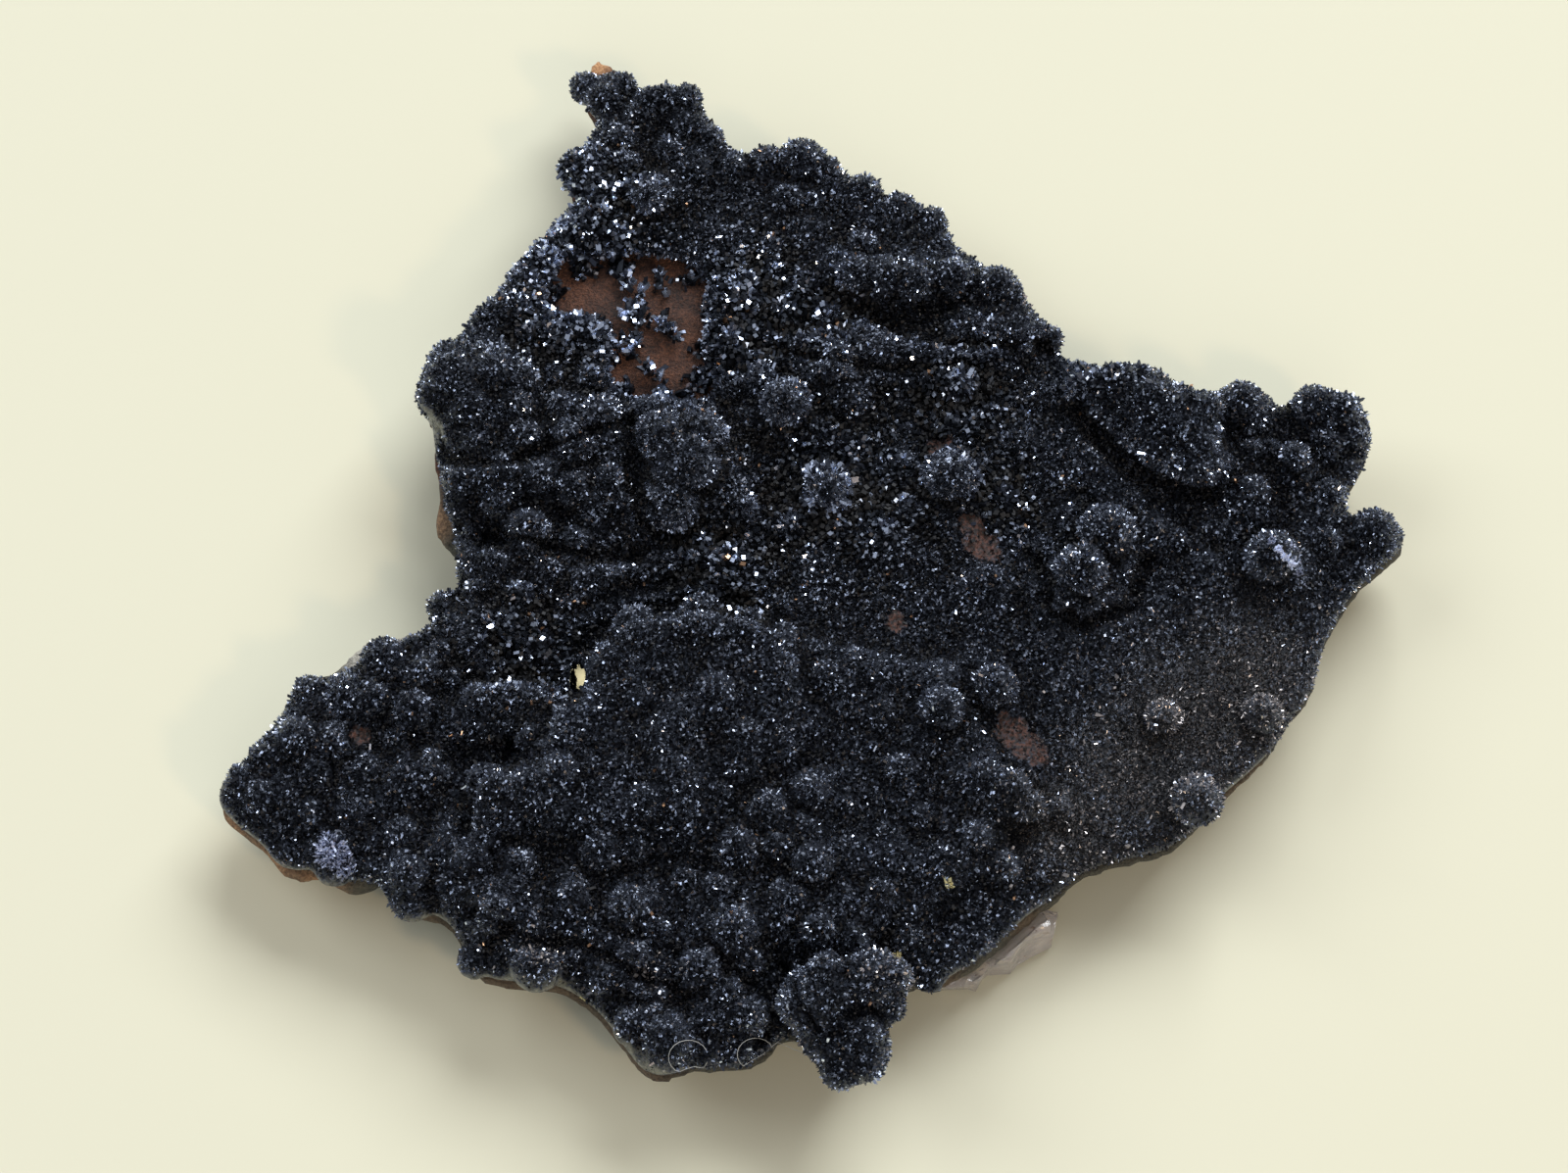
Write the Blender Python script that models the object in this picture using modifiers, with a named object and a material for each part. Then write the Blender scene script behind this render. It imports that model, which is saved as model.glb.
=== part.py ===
"""Pyrolusite specimen: a black crystal crust on a thin oxide plate, lying on its back.

Blender 4.5, metres, +Z up. The origin is the middle of the bounding box's underside.
Places on the plan are in millimetres, seen from above, with +Y towards the pointed tip.
"""

import math
import random

import bmesh
import bpy
import numpy as np
from mathutils import Matrix

MM = 0.001
SEED = 41

# Plan of the plate, clockwise from the tip, in named stretches.
PLATE_OUTLINE = {
    "tip": [
        (-20.8, 65.4), (-18.6, 63.8), (-16.7, 61.6), (-16.9, 60.0), (-15.2, 59.3), (-13.6, 59.9),
        (-12.3, 59.2), (-10.8, 60.0), (-9.2, 58.8),
    ],
    "upperRight": [
        (-9.0, 57.0), (-7.3, 55.3), (-6.4, 52.9), (-3.8, 51.5), (-0.6, 51.6), (1.6, 52.4),
        (4.2, 51.4), (5.9, 48.9), (9.2, 47.1), (13.5, 45.0), (17.2, 43.4), (18.3, 40.3),
        (20.3, 38.8), (23.6, 36.2), (26.3, 32.6), (27.1, 30.4), (28.8, 28.8), (28.7, 26.7),
    ],
    "rightBumps": [
        (31.5, 25.4), (34.5, 23.9), (38.5, 24.0), (41.4, 23.4), (42.8, 21.3), (44.7, 22.2),
        (46.4, 22.9), (48.1, 23.5), (49.7, 21.9), (51.2, 20.1), (53.6, 21.8), (55.3, 22.7),
        (57.3, 22.0), (59.3, 22.1), (60.2, 20.2), (61.3, 18.0), (60.8, 15.2), (59.1, 12.3),
        (57.7, 10.1),
    ],
    "prong": [(58.5, 7.5), (61.2, 8.2), (63.7, 7.1), (64.3, 5.9), (61.9, 3.2), (59.1, 0.7)],
    "lowerRight": [
        (57.2, -2.1), (54.4, -7.4), (53.4, -11.3), (51.2, -14.1), (49.0, -17.7), (46.0, -20.7),
        (42.8, -23.5), (40.2, -26.6), (37.6, -28.6), (33.2, -29.6), (28.9, -31.2), (27.4, -32.8),
        (24.1, -35.2), (20.8, -38.2), (17.2, -41.0), (14.5, -42.3), (12.2, -42.4),
    ],
    "frontEdge": [
        (9.8, -45.4), (8.0, -49.8), (4.4, -49.8), (0.8, -47.4), (-2.6, -50.2), (-8.8, -50.9),
        (-12.6, -51.8), (-15.6, -48.5), (-18.4, -44.9), (-22.0, -42.7), (-29.6, -41.6),
        (-31.2, -39.0), (-32.6, -36.4), (-34.6, -35.2), (-37.8, -34.2), (-38.8, -32.6),
        (-38.4, -30.3), (-40.6, -31.6), (-43.3, -32.0), (-45.6, -30.7), (-49.2, -30.7),
        (-51.4, -28.2), (-54.6, -25.6), (-56.2, -23.7),
    ],
    "leftWing": [
        (-55.8, -20.9), (-53.8, -19.4), (-52.6, -17.2), (-50.6, -14.8), (-49.6, -12.0),
        (-48.2, -9.7), (-45.4, -8.1), (-43.6, -5.7), (-38.4, -4.1),
    ],
    "leftEdge": [
        (-34.8, -1.6), (-33.1, 0.6), (-33.8, 4.0), (-36.4, 8.4), (-35.8, 11.6), (-36.6, 15.0),
        (-36.6, 18.4), (-38.5, 20.9), (-37.9, 24.6), (-36.2, 26.9), (-34.0, 28.8), (-32.6, 31.4),
        (-30.6, 33.2), (-29.2, 36.2), (-26.9, 38.8), (-25.1, 41.6), (-23.4, 44.6),
    ],
    "neck": [
        (-22.9, 46.6), (-24.0, 49.2), (-22.5, 51.4), (-20.4, 54.0), (-20.5, 56.6), (-21.9, 59.6),
        (-21.4, 62.0),
    ],
}

# Where the crust stops short of the plate's edge, its own line replaces part of a stretch.
CRUST_LINE = {
    "tip": PLATE_OUTLINE["tip"][2:],
    "leftWing": PLATE_OUTLINE["leftWing"][:5] + [(-47.6, -10.9), (-44.0, -9.4), (-41.2, -6.8), (-37.6, -5.4)],
    "leftEdge": [
        (-34.6, -2.4), (-33.2, 0.6), (-33.6, 4.6), (-34.6, 8.6), (-35.0, 11.8), (-36.3, 15.0),
        (-36.6, 18.4), (-38.5, 20.9), (-37.9, 24.6), (-36.2, 26.9), (-34.0, 28.8), (-32.6, 31.4),
        (-30.6, 33.2), (-29.2, 36.2), (-26.9, 38.8), (-24.8, 41.4), (-22.6, 42.8), (-21.2, 45.0),
    ],
    "neck": [
        (-22.7, 46.9), (-24.0, 49.2), (-22.5, 51.4), (-20.4, 54.0), (-20.5, 56.6), (-21.9, 59.6),
        (-20.6, 61.6),
    ],
}

# The window in the crust, where the brown plate lies bare.
WINDOW = [
    (-23.6, 38.4), (-20.0, 38.0), (-16.2, 39.2), (-11.6, 38.4), (-8.2, 36.6), (-7.4, 33.8),
    (-8.4, 29.6), (-8.0, 26.4), (-6.8, 22.4), (-9.6, 21.4), (-13.2, 21.6), (-17.2, 22.2),
    (-18.4, 25.4), (-17.8, 28.2), (-19.4, 30.2), (-23.2, 30.9), (-25.6, 31.6), (-24.6, 35.2),
]
# The small hole right through the specimen leans like the light that falls through it.
HOLE_PLACE, HOLE_SIZE, HOLE_LEAN = (-20.8, -10.0, 8.0), (1.9, 3.4), math.radians(25)
HOLE_CUTTER_LENGTH = 60.0

# Levels of the plate, above the surface that it lies on.
PLATE_TOP = 3.9
EDGE_LIFT, EDGE_LIFT_REACH = 2.3, 8.0
WINDOW_LIFT, WINDOW_LIFT_REACH = 3.0, 14.0
WINDOW_LIFT_PLACE = (-14.0, 31.0)
PLATE_WAVE, PLATE_WAVE_LENGTHS = 0.4, (15.0, 13.0)
PLATE_EDGE_THICKNESS, PLATE_BODY_THICKNESS, PLATE_TAPER = 1.3, 3.2, 9.0
UNDERSIDE_WAVES, UNDERSIDE_WAVE_LENGTHS = (1.1, 0.7), (5.3, 6.1, 7.7)
# The underside is worn flat where it touches: what comes this near to the surface lies on it.
CONTACT_DEPTH = 0.12
JOINT_GAP = 0.4

# The crust's own thickness, from its rim inwards.
CRUST_RIM, CRUST_BODY, CRUST_SWELL = 2.3, 4.3, 3.4
THIN_CRUST_LOSS, THIN_CRUST_REACH = 2.2, 15.0

# Raised terraces of the crust: outline, rise and width of the flank.
TERRACES = {
    "lowerMass": (
        [(-18.6, -7.2), (-14.6, -5.0), (-7.0, -3.8), (-1.0, -4.8), (5.0, -7.6), (12.0, -9.0),
         (19.0, -14.0), (23.0, -22.0), (20.0, -31.0), (12.0, -37.0), (0.0, -39.0), (-14.0, -41.0),
         (-26.0, -39.0), (-33.0, -35.0), (-34.6, -30.0), (-32.2, -24.6), (-31.2, -21.0),
         (-27.2, -20.4), (-25.0, -17.0), (-23.4, -14.4), (-20.2, -13.2), (-19.4, -9.4)],
        2.5, 2.6,
    ),
    "lowerMassCrest": (
        [(-18.4, -8.0), (-14.4, -5.8), (-7.0, -4.6), (0.0, -6.4), (2.0, -14.0), (-2.0, -22.0),
         (-10.0, -27.0), (-20.0, -29.0), (-28.0, -28.0), (-31.2, -25.0), (-30.6, -21.8),
         (-26.4, -21.2), (-24.2, -17.6), (-22.6, -15.2), (-19.6, -14.2)],
        2.6, 2.4,
    ),
    "wingBlock": (
        [(-32.6, -13.6), (-30.6, -12.2), (-24.0, -12.4), (-22.4, -14.0), (-24.4, -17.6),
         (-28.0, -18.2), (-32.0, -17.4)],
        3.0, 1.8,
    ),
    "leftBlock": (
        [(-37.6, 22.2), (-36.4, 25.2), (-32.0, 25.8), (-28.0, 25.2), (-26.4, 22.4), (-26.6, 17.6),
         (-30.6, 15.6), (-36.2, 16.4)],
        4.2, 2.2,
    ),
    "leftShelf": (
        [(-35.4, 16.4), (-26.0, 17.8), (-18.0, 20.0), (-8.0, 19.6), (-4.2, 14.0), (-6.0, 8.4),
         (-12.0, 6.2), (-18.0, 8.6), (-27.0, 8.8), (-34.4, 9.0)],
        2.4, 2.4,
    ),
    "rightSlab": (
        [(31.4, 22.4), (31.2, 18.8), (34.8, 16.6), (37.2, 13.0), (40.4, 10.0), (43.6, 10.2),
         (45.2, 13.2), (44.0, 18.0), (41.4, 21.4), (36.0, 22.6)],
        4.2, 1.8,
    ),
    "upperLedge": (
        [(4.4, 34.6), (6.2, 37.2), (12.0, 37.6), (19.0, 35.6), (24.4, 33.4), (23.6, 31.6),
         (16.0, 32.4), (9.0, 32.6)],
        2.6, 1.8,
    ),
    "middleLedge": (
        [(-1.4, 28.0), (6.0, 28.2), (14.0, 27.4), (20.0, 28.8), (27.4, 29.6), (28.0, 27.0),
         (21.0, 24.6), (12.0, 22.6), (2.0, 23.4)],
        2.2, 1.8,
    ),
}

# Rounded lobes grown on the crust: centre on the plan, half sizes, stand above the crust, turn in degrees.
LOBES = [
    (-10.6, 12.4, 5.8, 7.4, 3.0, 12), (-20.4, 15.2, 4.6, 4.4, 2.0, 0), (-32.0, 21.2, 5.2, 4.0, 1.0, 0),
    (-30.4, 11.8, 4.6, 3.4, 1.4, 10), (-24.2, 11.2, 3.6, 3.0, 1.4, 0), (-26.0, 4.0, 4.6, 3.2, 1.8, 20),
    (-31.0, 2.2, 2.8, 2.4, 1.4, 0), (-20.6, 2.2, 2.6, 2.2, 1.4, 0), (-28.4, -3.4, 5.2, 3.2, 1.8, 0),
    (-13.0, -8.8, 4.6, 4.4, 1.2, 0), (-5.0, -7.8, 5.2, 4.6, 1.2, 0), (-22.4, -18.8, 3.4, 4.4, 1.0, 0),
    (-43.0, -13.4, 4.4, 3.6, 2.0, 0), (-47.4, -18.2, 5.4, 2.8, 1.8, 8), (-38.4, -10.4, 3.4, 2.6, 1.8, 0),
    (-36.2, -21.4, 3.8, 3.2, 2.0, 0), (-50.4, -23.4, 3.4, 2.6, 1.4, -20), (-42.0, -23.6, 4.0, 3.0, 1.2, 0),
    (-36.8, -31.4, 2.6, 3.6, 2.0, -25), (-36.8, -14.6, 3.4, 3.4, 2.0, 0), (-6.0, 1.6, 3.4, 2.2, 1.4, 0),
    (38.4, 17.4, 5.8, 3.0, 1.0, -38), (42.6, 12.6, 2.6, 3.2, 1.0, 0), (36.0, 20.8, 3.6, 2.4, 0.8, -20),
    (47.8, 19.6, 3.2, 3.0, 2.6, 0), (56.6, 18.4, 4.2, 3.4, 2.4, 0), (52.8, 12.6, 2.3, 2.4, 2.2, 0),
    (47.4, 8.4, 3.4, 2.8, 2.2, 0), (60.4, 5.2, 2.8, 2.2, 1.2, -20), (55.0, 7.6, 3.0, 2.6, 1.4, 0),
    (13.4, 34.6, 7.6, 2.4, 0.8, -8), (22.4, 28.8, 6.0, 2.2, 0.8, -10), (8.6, 25.6, 6.4, 2.2, 0.8, 0),
    (-12.4, 56.8, 3.6, 2.6, 1.8, 0), (2.0, 49.2, 3.6, 2.8, 1.6, 0), (10.0, 43.6, 4.2, 2.6, 1.4, -20),
    (20.8, -23.6, 5.2, 2.2, 2.0, -32), (2.2, -23.6, 4.6, 2.6, 1.6, 10), (-1.6, -28.8, 4.8, 2.4, 1.6, 12),
    (3.8, -30.6, 3.6, 2.4, 1.6, -14), (-17.6, -29.4, 4.4, 2.8, 1.4, 8), (-27.4, -35.0, 3.6, 3.0, 1.4, 0),
    (-14.2, -36.0, 3.4, 3.0, 1.4, 0), (-7.8, -40.8, 3.4, 2.8, 2.4, 0), (-5.0, -37.4, 3.6, 2.6, 1.8, 0),
    (3.4, -38.2, 3.2, 2.4, 1.8, 0), (-15.6, -41.4, 2.8, 2.4, 2.4, 0), (-5.2, -46.0, 3.0, 3.2, 2.4, 0),
    (-30.0, 30.6, 4.6, 2.4, 1.0, 35), (-23.6, 26.6, 4.4, 2.6, 1.2, 0), (-20.4, 42.4, 4.0, 2.4, 1.2, 20),
]
# The big lobe that stands out over the front edge is a cluster of four.
LOBES += [
    (3.4, -45.4, 4.4, 3.6, 6.4, 10), (8.6, -43.8, 3.6, 3.4, 6.8, 0),
    (6.8, -49.6, 3.6, 3.8, 4.8, 0), (4.4, -48.6, 3.0, 3.2, 4.2, 0),
]
# Almost round knobs: centre on the plan, radius, stand above the crust.
KNOBS = [
    (-14.2, 45.2, 2.6, 2.9), (0.4, 19.0, 2.9, 3.6), (6.4, 21.6, 2.6, 3.0), (4.2, 9.6, 2.3, 3.0),
    (17.0, 10.6, 2.8, 3.2), (29.6, -0.8, 4.2, 3.6), (33.2, 4.2, 3.2, 3.4), (21.4, -13.6, 2.3, 2.8),
    (16.2, -15.8, 2.2, 2.0), (38.2, -15.8, 2.0, 1.6), (47.6, -15.2, 2.1, 1.7), (40.6, -24.4, 2.5, 2.8),
    (50.4, 1.6, 3.6, 3.2), (-44.4, -29.2, 2.0, 1.4), (-24.2, -40.0, 2.6, 2.4), (-12.6, -47.6, 2.9, 2.6),
]
# A lobe's half height, as a share of its smaller half width.
LOBE_ROUNDNESS = 0.95
LOBE_FLOOR_GAP = 0.2
# Smaller lumps are strewn over the whole crust.
LUMP_COUNT, LUMP_RADII, LUMP_STAND, LUMP_EDGE = 330, (1.6, 3.4), (0.2, 0.62), 1.6
LUMP_HOLE_CLEARANCE = 2.6
PLAN_REACH = (-56, 64), (-52, 62)
# The velvety area on the right has no lumps.
SMOOTH_AREA = [(30.0, -3.0), (55.0, -3.0), (52.0, -14.0), (38.0, -27.0), (26.0, -26.0), (26.0, -12.0)]

# Groups of blocky crystals that stand in the window: centre, spread and count of each.
CRYSTAL_GROUPS = {
    "crystal_group_chain": ((-16.4, 33.6), (1.1, 3.0), 17),
    "crystal_group_pair": ((-12.6, 35.8), (0.6, 0.5), 5),
    "crystal_group_right": ((-12.0, 30.0), (1.0, 0.8), 8),
    "crystal_group_ring": ((-15.7, 28.3), (0.8, 0.4), 7),
    "crystal_group_single": ((-14.1, 25.3), (0.3, 0.4), 3),
    "crystal_group_low": ((-12.5, 23.0), (0.7, 0.2), 4),
}
CRYSTAL_SIZES, CRYSTAL_TILT = (0.9, 1.7), 28
CRYSTAL_WIDTH_SHARE, CRYSTAL_HEIGHT_SHARE = (0.7, 1.0), (1.1, 1.5)
CRYSTAL_CENTRE_LEVEL = 0.75

# The clear crystalline mass under the lower right edge: places and sizes of its blocks.
CALCITE_BLOCKS = [
    (24.2, -35.0, 1.8, 4.2), (22.2, -35.8, 2.0, 4.6), (20.2, -36.8, 2.2, 4.4),
    (18.2, -38.4, 1.9, 4.0), (25.6, -34.4, 1.4, 2.8), (22.0, -33.8, 1.6, 4.4), (16.6, -39.4, 1.4, 3.0),
]
CALCITE_TILT, CALCITE_FOOT, CALCITE_OVERHANG = 16, 0.25, 0.6

COARSE_VOXEL, FINE_VOXEL, CALCITE_VOXEL = 0.8, 0.7, 0.35
PLATE_SLAB, CRUST_SLAB = 5.0, 6.0
CRUST_TRIANGLES, PLATE_TRIANGLES, CALCITE_TRIANGLES = 6500, 1700, 220


def clearScene():
    for obj in list(bpy.data.objects):
        bpy.data.objects.remove(obj, do_unlink=True)


def newCollection(name):
    collection = bpy.data.collections.new(name)
    bpy.context.scene.collection.children.link(collection)
    return collection


def newMaterial(name, colour, roughness, metallic):
    material = bpy.data.materials.new(name)
    material.use_nodes = True
    shader = material.node_tree.nodes["Principled BSDF"]
    shader.inputs["Base Color"].default_value = (*colour, 1.0)
    shader.inputs["Roughness"].default_value = roughness
    shader.inputs["Metallic"].default_value = metallic
    return material


def joined(stretches, replaced=None):
    """One closed line from the named stretches, some of them replaced."""
    replaced = replaced or {}
    return [point for name, points in stretches.items() for point in replaced.get(name, points)]


def distanceTo(line, x, y):
    """Distance of each point of the plan to a closed line."""
    nearest = np.full(x.shape, np.inf)
    for (startX, startY), (endX, endY) in zip(line, line[1:] + line[:1]):
        runX, runY = endX - startX, endY - startY
        along = ((x - startX) * runX + (y - startY) * runY) / (runX**2 + runY**2)
        along = np.clip(along, 0.0, 1.0)
        nearest = np.minimum(nearest, np.hypot(x - startX - along * runX, y - startY - along * runY))
    return nearest


def isInside(line, x, y):
    inside = np.zeros(x.shape, bool)
    for (startX, startY), (endX, endY) in zip(line, line[1:] + line[:1]):
        crosses = (startY > y) != (endY > y)
        atX = startX + (y - startY) * (endX - startX) / (endY - startY + 1e-9)
        inside ^= crosses & (x < atX)
    return inside


def depthInside(line, x, y):
    """Distance to the line, negative outside it."""
    return np.where(isInside(line, x, y), 1.0, -1.0) * distanceTo(line, x, y)


def smoothStep(value):
    value = np.clip(value, 0.0, 1.0)
    return value * value * (3.0 - 2.0 * value)


def hill(x, y, place, reach):
    return np.exp(-(((x - place[0]) ** 2 + (y - place[1]) ** 2) / reach**2))


PLATE_LINE = joined(PLATE_OUTLINE)


def plateTop(x, y):
    edge = np.maximum(depthInside(PLATE_LINE, x, y), 0.0)
    lift = EDGE_LIFT * np.exp(-edge / EDGE_LIFT_REACH)
    window = WINDOW_LIFT * hill(x, y, WINDOW_LIFT_PLACE, WINDOW_LIFT_REACH)
    wave = PLATE_WAVE * np.sin(x / PLATE_WAVE_LENGTHS[0] + 0.6) * np.cos(y / PLATE_WAVE_LENGTHS[1])
    return PLATE_TOP + lift + window + wave


def plateBottom(x, y):
    edge = np.maximum(depthInside(PLATE_LINE, x, y), 0.0)
    body = PLATE_BODY_THICKNESS * (1.0 - np.exp(-edge / PLATE_TAPER))
    window = WINDOW_LIFT * hill(x, y, WINDOW_LIFT_PLACE, WINDOW_LIFT_REACH)
    alongX, alongY, slanting = UNDERSIDE_WAVE_LENGTHS
    rough = UNDERSIDE_WAVES[0] * np.sin(x / alongX) * np.sin(y / alongY + 1.0)
    rough += UNDERSIDE_WAVES[1] * np.sin((x + 2.0 * y) / slanting)
    return np.maximum(plateTop(x, y) - PLATE_EDGE_THICKNESS - body - window + rough, 0.0)


def crustBottom(x, y):
    return plateTop(x, y) + JOINT_GAP


def crustTop(x, y):
    edge = np.maximum(depthInside(PLATE_LINE, x, y), 0.0)
    body = CRUST_BODY - THIN_CRUST_LOSS * hill(x, y, WINDOW_LIFT_PLACE, THIN_CRUST_REACH)
    top = crustBottom(x, y) + CRUST_RIM + (body - CRUST_RIM) * (1.0 - np.exp(-edge / CRUST_SWELL))
    for outline, rise, flank in TERRACES.values():
        top += rise * smoothStep(0.5 + depthInside(outline, x, y) / flank)
    return top


def addSlab(name, lines, thickness, voxel):
    """A flat plate with these outlines, its inner ones being holes, remeshed into even small faces."""
    curve = bpy.data.curves.new(name, "CURVE")
    curve.dimensions = "2D"
    curve.fill_mode = "BOTH"
    curve.extrude = thickness * MM / 2
    curve.resolution_u = 4
    for line in lines:
        spline = curve.splines.new("BEZIER")
        spline.bezier_points.add(len(line) - 1)
        for point, (x, y) in zip(spline.bezier_points, line):
            point.co = (x * MM, y * MM, 0.0)
            point.handle_left_type = point.handle_right_type = "AUTO"
        spline.use_cyclic_u = True
    guide = bpy.data.objects.new(name + "_guide", curve)
    bpy.context.scene.collection.objects.link(guide)
    graph = bpy.context.evaluated_depsgraph_get()
    mesh = bpy.data.meshes.new_from_object(guide.evaluated_get(graph))
    bpy.data.objects.remove(guide, do_unlink=True)
    weld(mesh)
    slab = bpy.data.objects.new(name, mesh)
    bpy.context.scene.collection.objects.link(slab)
    remesh(slab, voxel)
    return slab


def weld(mesh):
    work = bmesh.new()
    work.from_mesh(mesh)
    bmesh.ops.remove_doubles(work, verts=work.verts, dist=1e-6)
    bmesh.ops.recalc_face_normals(work, faces=work.faces)
    work.to_mesh(mesh)
    work.free()


def applyAll(obj):
    graph = bpy.context.evaluated_depsgraph_get()
    mesh = bpy.data.meshes.new_from_object(obj.evaluated_get(graph))
    obj.modifiers.clear()
    obj.data = mesh


def remesh(obj, voxel):
    modifier = obj.modifiers.new("Remesh", "REMESH")
    modifier.mode = "VOXEL"
    modifier.voxel_size = voxel * MM
    applyAll(obj)


def reduce(obj, triangles):
    """Fewer faces, down to about this many triangles."""
    obj.data.calc_loop_triangles()
    modifier = obj.modifiers.new("Decimate", "DECIMATE")
    modifier.ratio = triangles / len(obj.data.loop_triangles)
    modifier.use_collapse_triangulate = True
    applyAll(obj)


def readPoints(obj):
    points = np.empty(len(obj.data.vertices) * 3)
    obj.data.vertices.foreach_get("co", points)
    return points.reshape(-1, 3) / MM


def writePoints(obj, points):
    obj.data.vertices.foreach_set("co", (points * MM).ravel())
    obj.data.update()


def shapeBetween(obj, thickness, bottom, top):
    """Moves a flat slab's points so that its two faces follow these heights."""
    points = readPoints(obj)
    x, y, share = points[:, 0], points[:, 1], points[:, 2] / thickness + 0.5
    low, high = bottom(x, y), top(x, y)
    points[:, 2] = low + share * (high - low)
    writePoints(obj, points)


def addLobes(lobes, floor, surface):
    """Rounded bodies as one object, standing out of this surface and none of them reaching below the floor."""
    made = []
    for x, y, halfX, halfY, stand, turn in lobes:
        halfHeight = min(halfX, halfY) * LOBE_ROUNDNESS
        top = float(surface(np.array([x]), np.array([y]))[0]) + stand
        bpy.ops.mesh.primitive_ico_sphere_add(
            subdivisions=3, radius=MM, location=(x * MM, y * MM, (top - halfHeight) * MM)
        )
        lobe = bpy.context.active_object
        lobe.scale = (halfX, halfY, halfHeight)
        lobe.rotation_euler = (0.0, 0.0, math.radians(turn))
        made.append(lobe)
    bpy.ops.object.select_all(action="DESELECT")
    for lobe in made:
        lobe.select_set(True)
    bpy.context.view_layer.objects.active = made[0]
    bpy.ops.object.join()
    bpy.ops.object.transform_apply(location=True, rotation=True, scale=True)
    points = readPoints(made[0])
    points[:, 2] = np.maximum(points[:, 2], floor(points[:, 0], points[:, 1]) + LOBE_FLOOR_GAP)
    writePoints(made[0], points)
    return made[0]


def lumps():
    """Small lobes strewn over the crust, clear of its window, its hole and its smooth area."""
    dice = random.Random(SEED)
    found = []
    crustLine = joined(PLATE_OUTLINE, CRUST_LINE)
    while len(found) < LUMP_COUNT:
        x, y = dice.uniform(*PLAN_REACH[0]), dice.uniform(*PLAN_REACH[1])
        radius = dice.uniform(*LUMP_RADII)
        stand = dice.uniform(*LUMP_STAND) * radius
        at = np.array([x]), np.array([y])
        if depthInside(crustLine, *at)[0] < max(LUMP_EDGE, radius * 0.8):
            continue
        if depthInside(WINDOW, *at)[0] > -radius or depthInside(SMOOTH_AREA, *at)[0] > -1.0:
            continue
        if math.dist((x, y), HOLE_PLACE[:2]) < radius + LUMP_HOLE_CLEARANCE:
            continue
        found.append((x, y, radius, radius, stand, 0))
    return found


def joinInto(target, others):
    bpy.ops.object.select_all(action="DESELECT")
    for obj in [target, *others]:
        obj.select_set(True)
    bpy.context.view_layer.objects.active = target
    bpy.ops.object.join()


def addHoleCutter(collection):
    bpy.ops.mesh.primitive_cylinder_add(vertices=16, radius=MM / 2, depth=HOLE_CUTTER_LENGTH * MM)
    cutter = bpy.context.active_object
    cutter.name = "hole_cutter"
    lean = Matrix.Rotation(HOLE_LEAN, 4, "X")
    place = Matrix.Translation([value * MM for value in HOLE_PLACE])
    size = Matrix.Diagonal((*HOLE_SIZE, 1.0, 1.0))
    cutter.data.transform(place @ lean @ size)
    cutter.hide_render = True
    cutter.display_type = "WIRE"
    moveTo(cutter, collection)
    return cutter


def cut(obj, cutter):
    modifier = obj.modifiers.new("Hole", "BOOLEAN")
    modifier.object = cutter
    modifier.operation = "DIFFERENCE"
    modifier.solver = "EXACT"
    applyAll(obj)


def moveTo(obj, collection):
    for old in list(obj.users_collection):
        old.objects.unlink(obj)
    collection.objects.link(obj)


def keepBiggest(obj):
    """Drops crumbs that a remesh may leave beside the main body."""
    work = bmesh.new()
    work.from_mesh(obj.data)
    unseen, bodies = set(work.verts), []
    while unseen:
        body, front = set(), [unseen.pop()]
        while front:
            vert = front.pop()
            body.add(vert)
            near = {edge.other_vert(vert) for edge in vert.link_edges} & unseen
            unseen -= near
            front.extend(near)
        bodies.append(body)
    biggest = max(bodies, key=len)
    crumbs = [vert for vert in work.verts if vert not in biggest]
    bmesh.ops.delete(work, geom=crumbs, context="VERTS")
    work.to_mesh(obj.data)
    work.free()


def buildPlate(cutter):
    plate = addSlab("matrix", [PLATE_LINE], PLATE_SLAB, COARSE_VOXEL)
    shapeBetween(plate, PLATE_SLAB, plateBottom, plateTop)
    cut(plate, cutter)
    reduce(plate, PLATE_TRIANGLES)
    points = readPoints(plate)
    points[:, 2] = np.where(points[:, 2] < CONTACT_DEPTH, 0.0, points[:, 2])
    writePoints(plate, points)
    return plate


def buildCrust(cutter):
    lines = [joined(PLATE_OUTLINE, CRUST_LINE), WINDOW]
    crust = addSlab("pyrolusite_crust", lines, CRUST_SLAB, COARSE_VOXEL)
    shapeBetween(crust, CRUST_SLAB, crustBottom, crustTop)
    knobs = [(x, y, radius, radius, stand, 0) for x, y, radius, stand in KNOBS]
    joinInto(crust, [addLobes(LOBES + knobs + lumps(), crustBottom, crustTop)])
    remesh(crust, FINE_VOXEL)
    cut(crust, cutter)
    reduce(crust, CRUST_TRIANGLES)
    keepBiggest(crust)
    return crust


def anyTurn(dice, tilt):
    """A turn about Z by any angle, after a tilt of at most so many degrees each way."""
    return [math.radians(dice.uniform(-tilt, tilt)) for _ in range(2)] + [dice.uniform(0, math.pi)]


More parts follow.
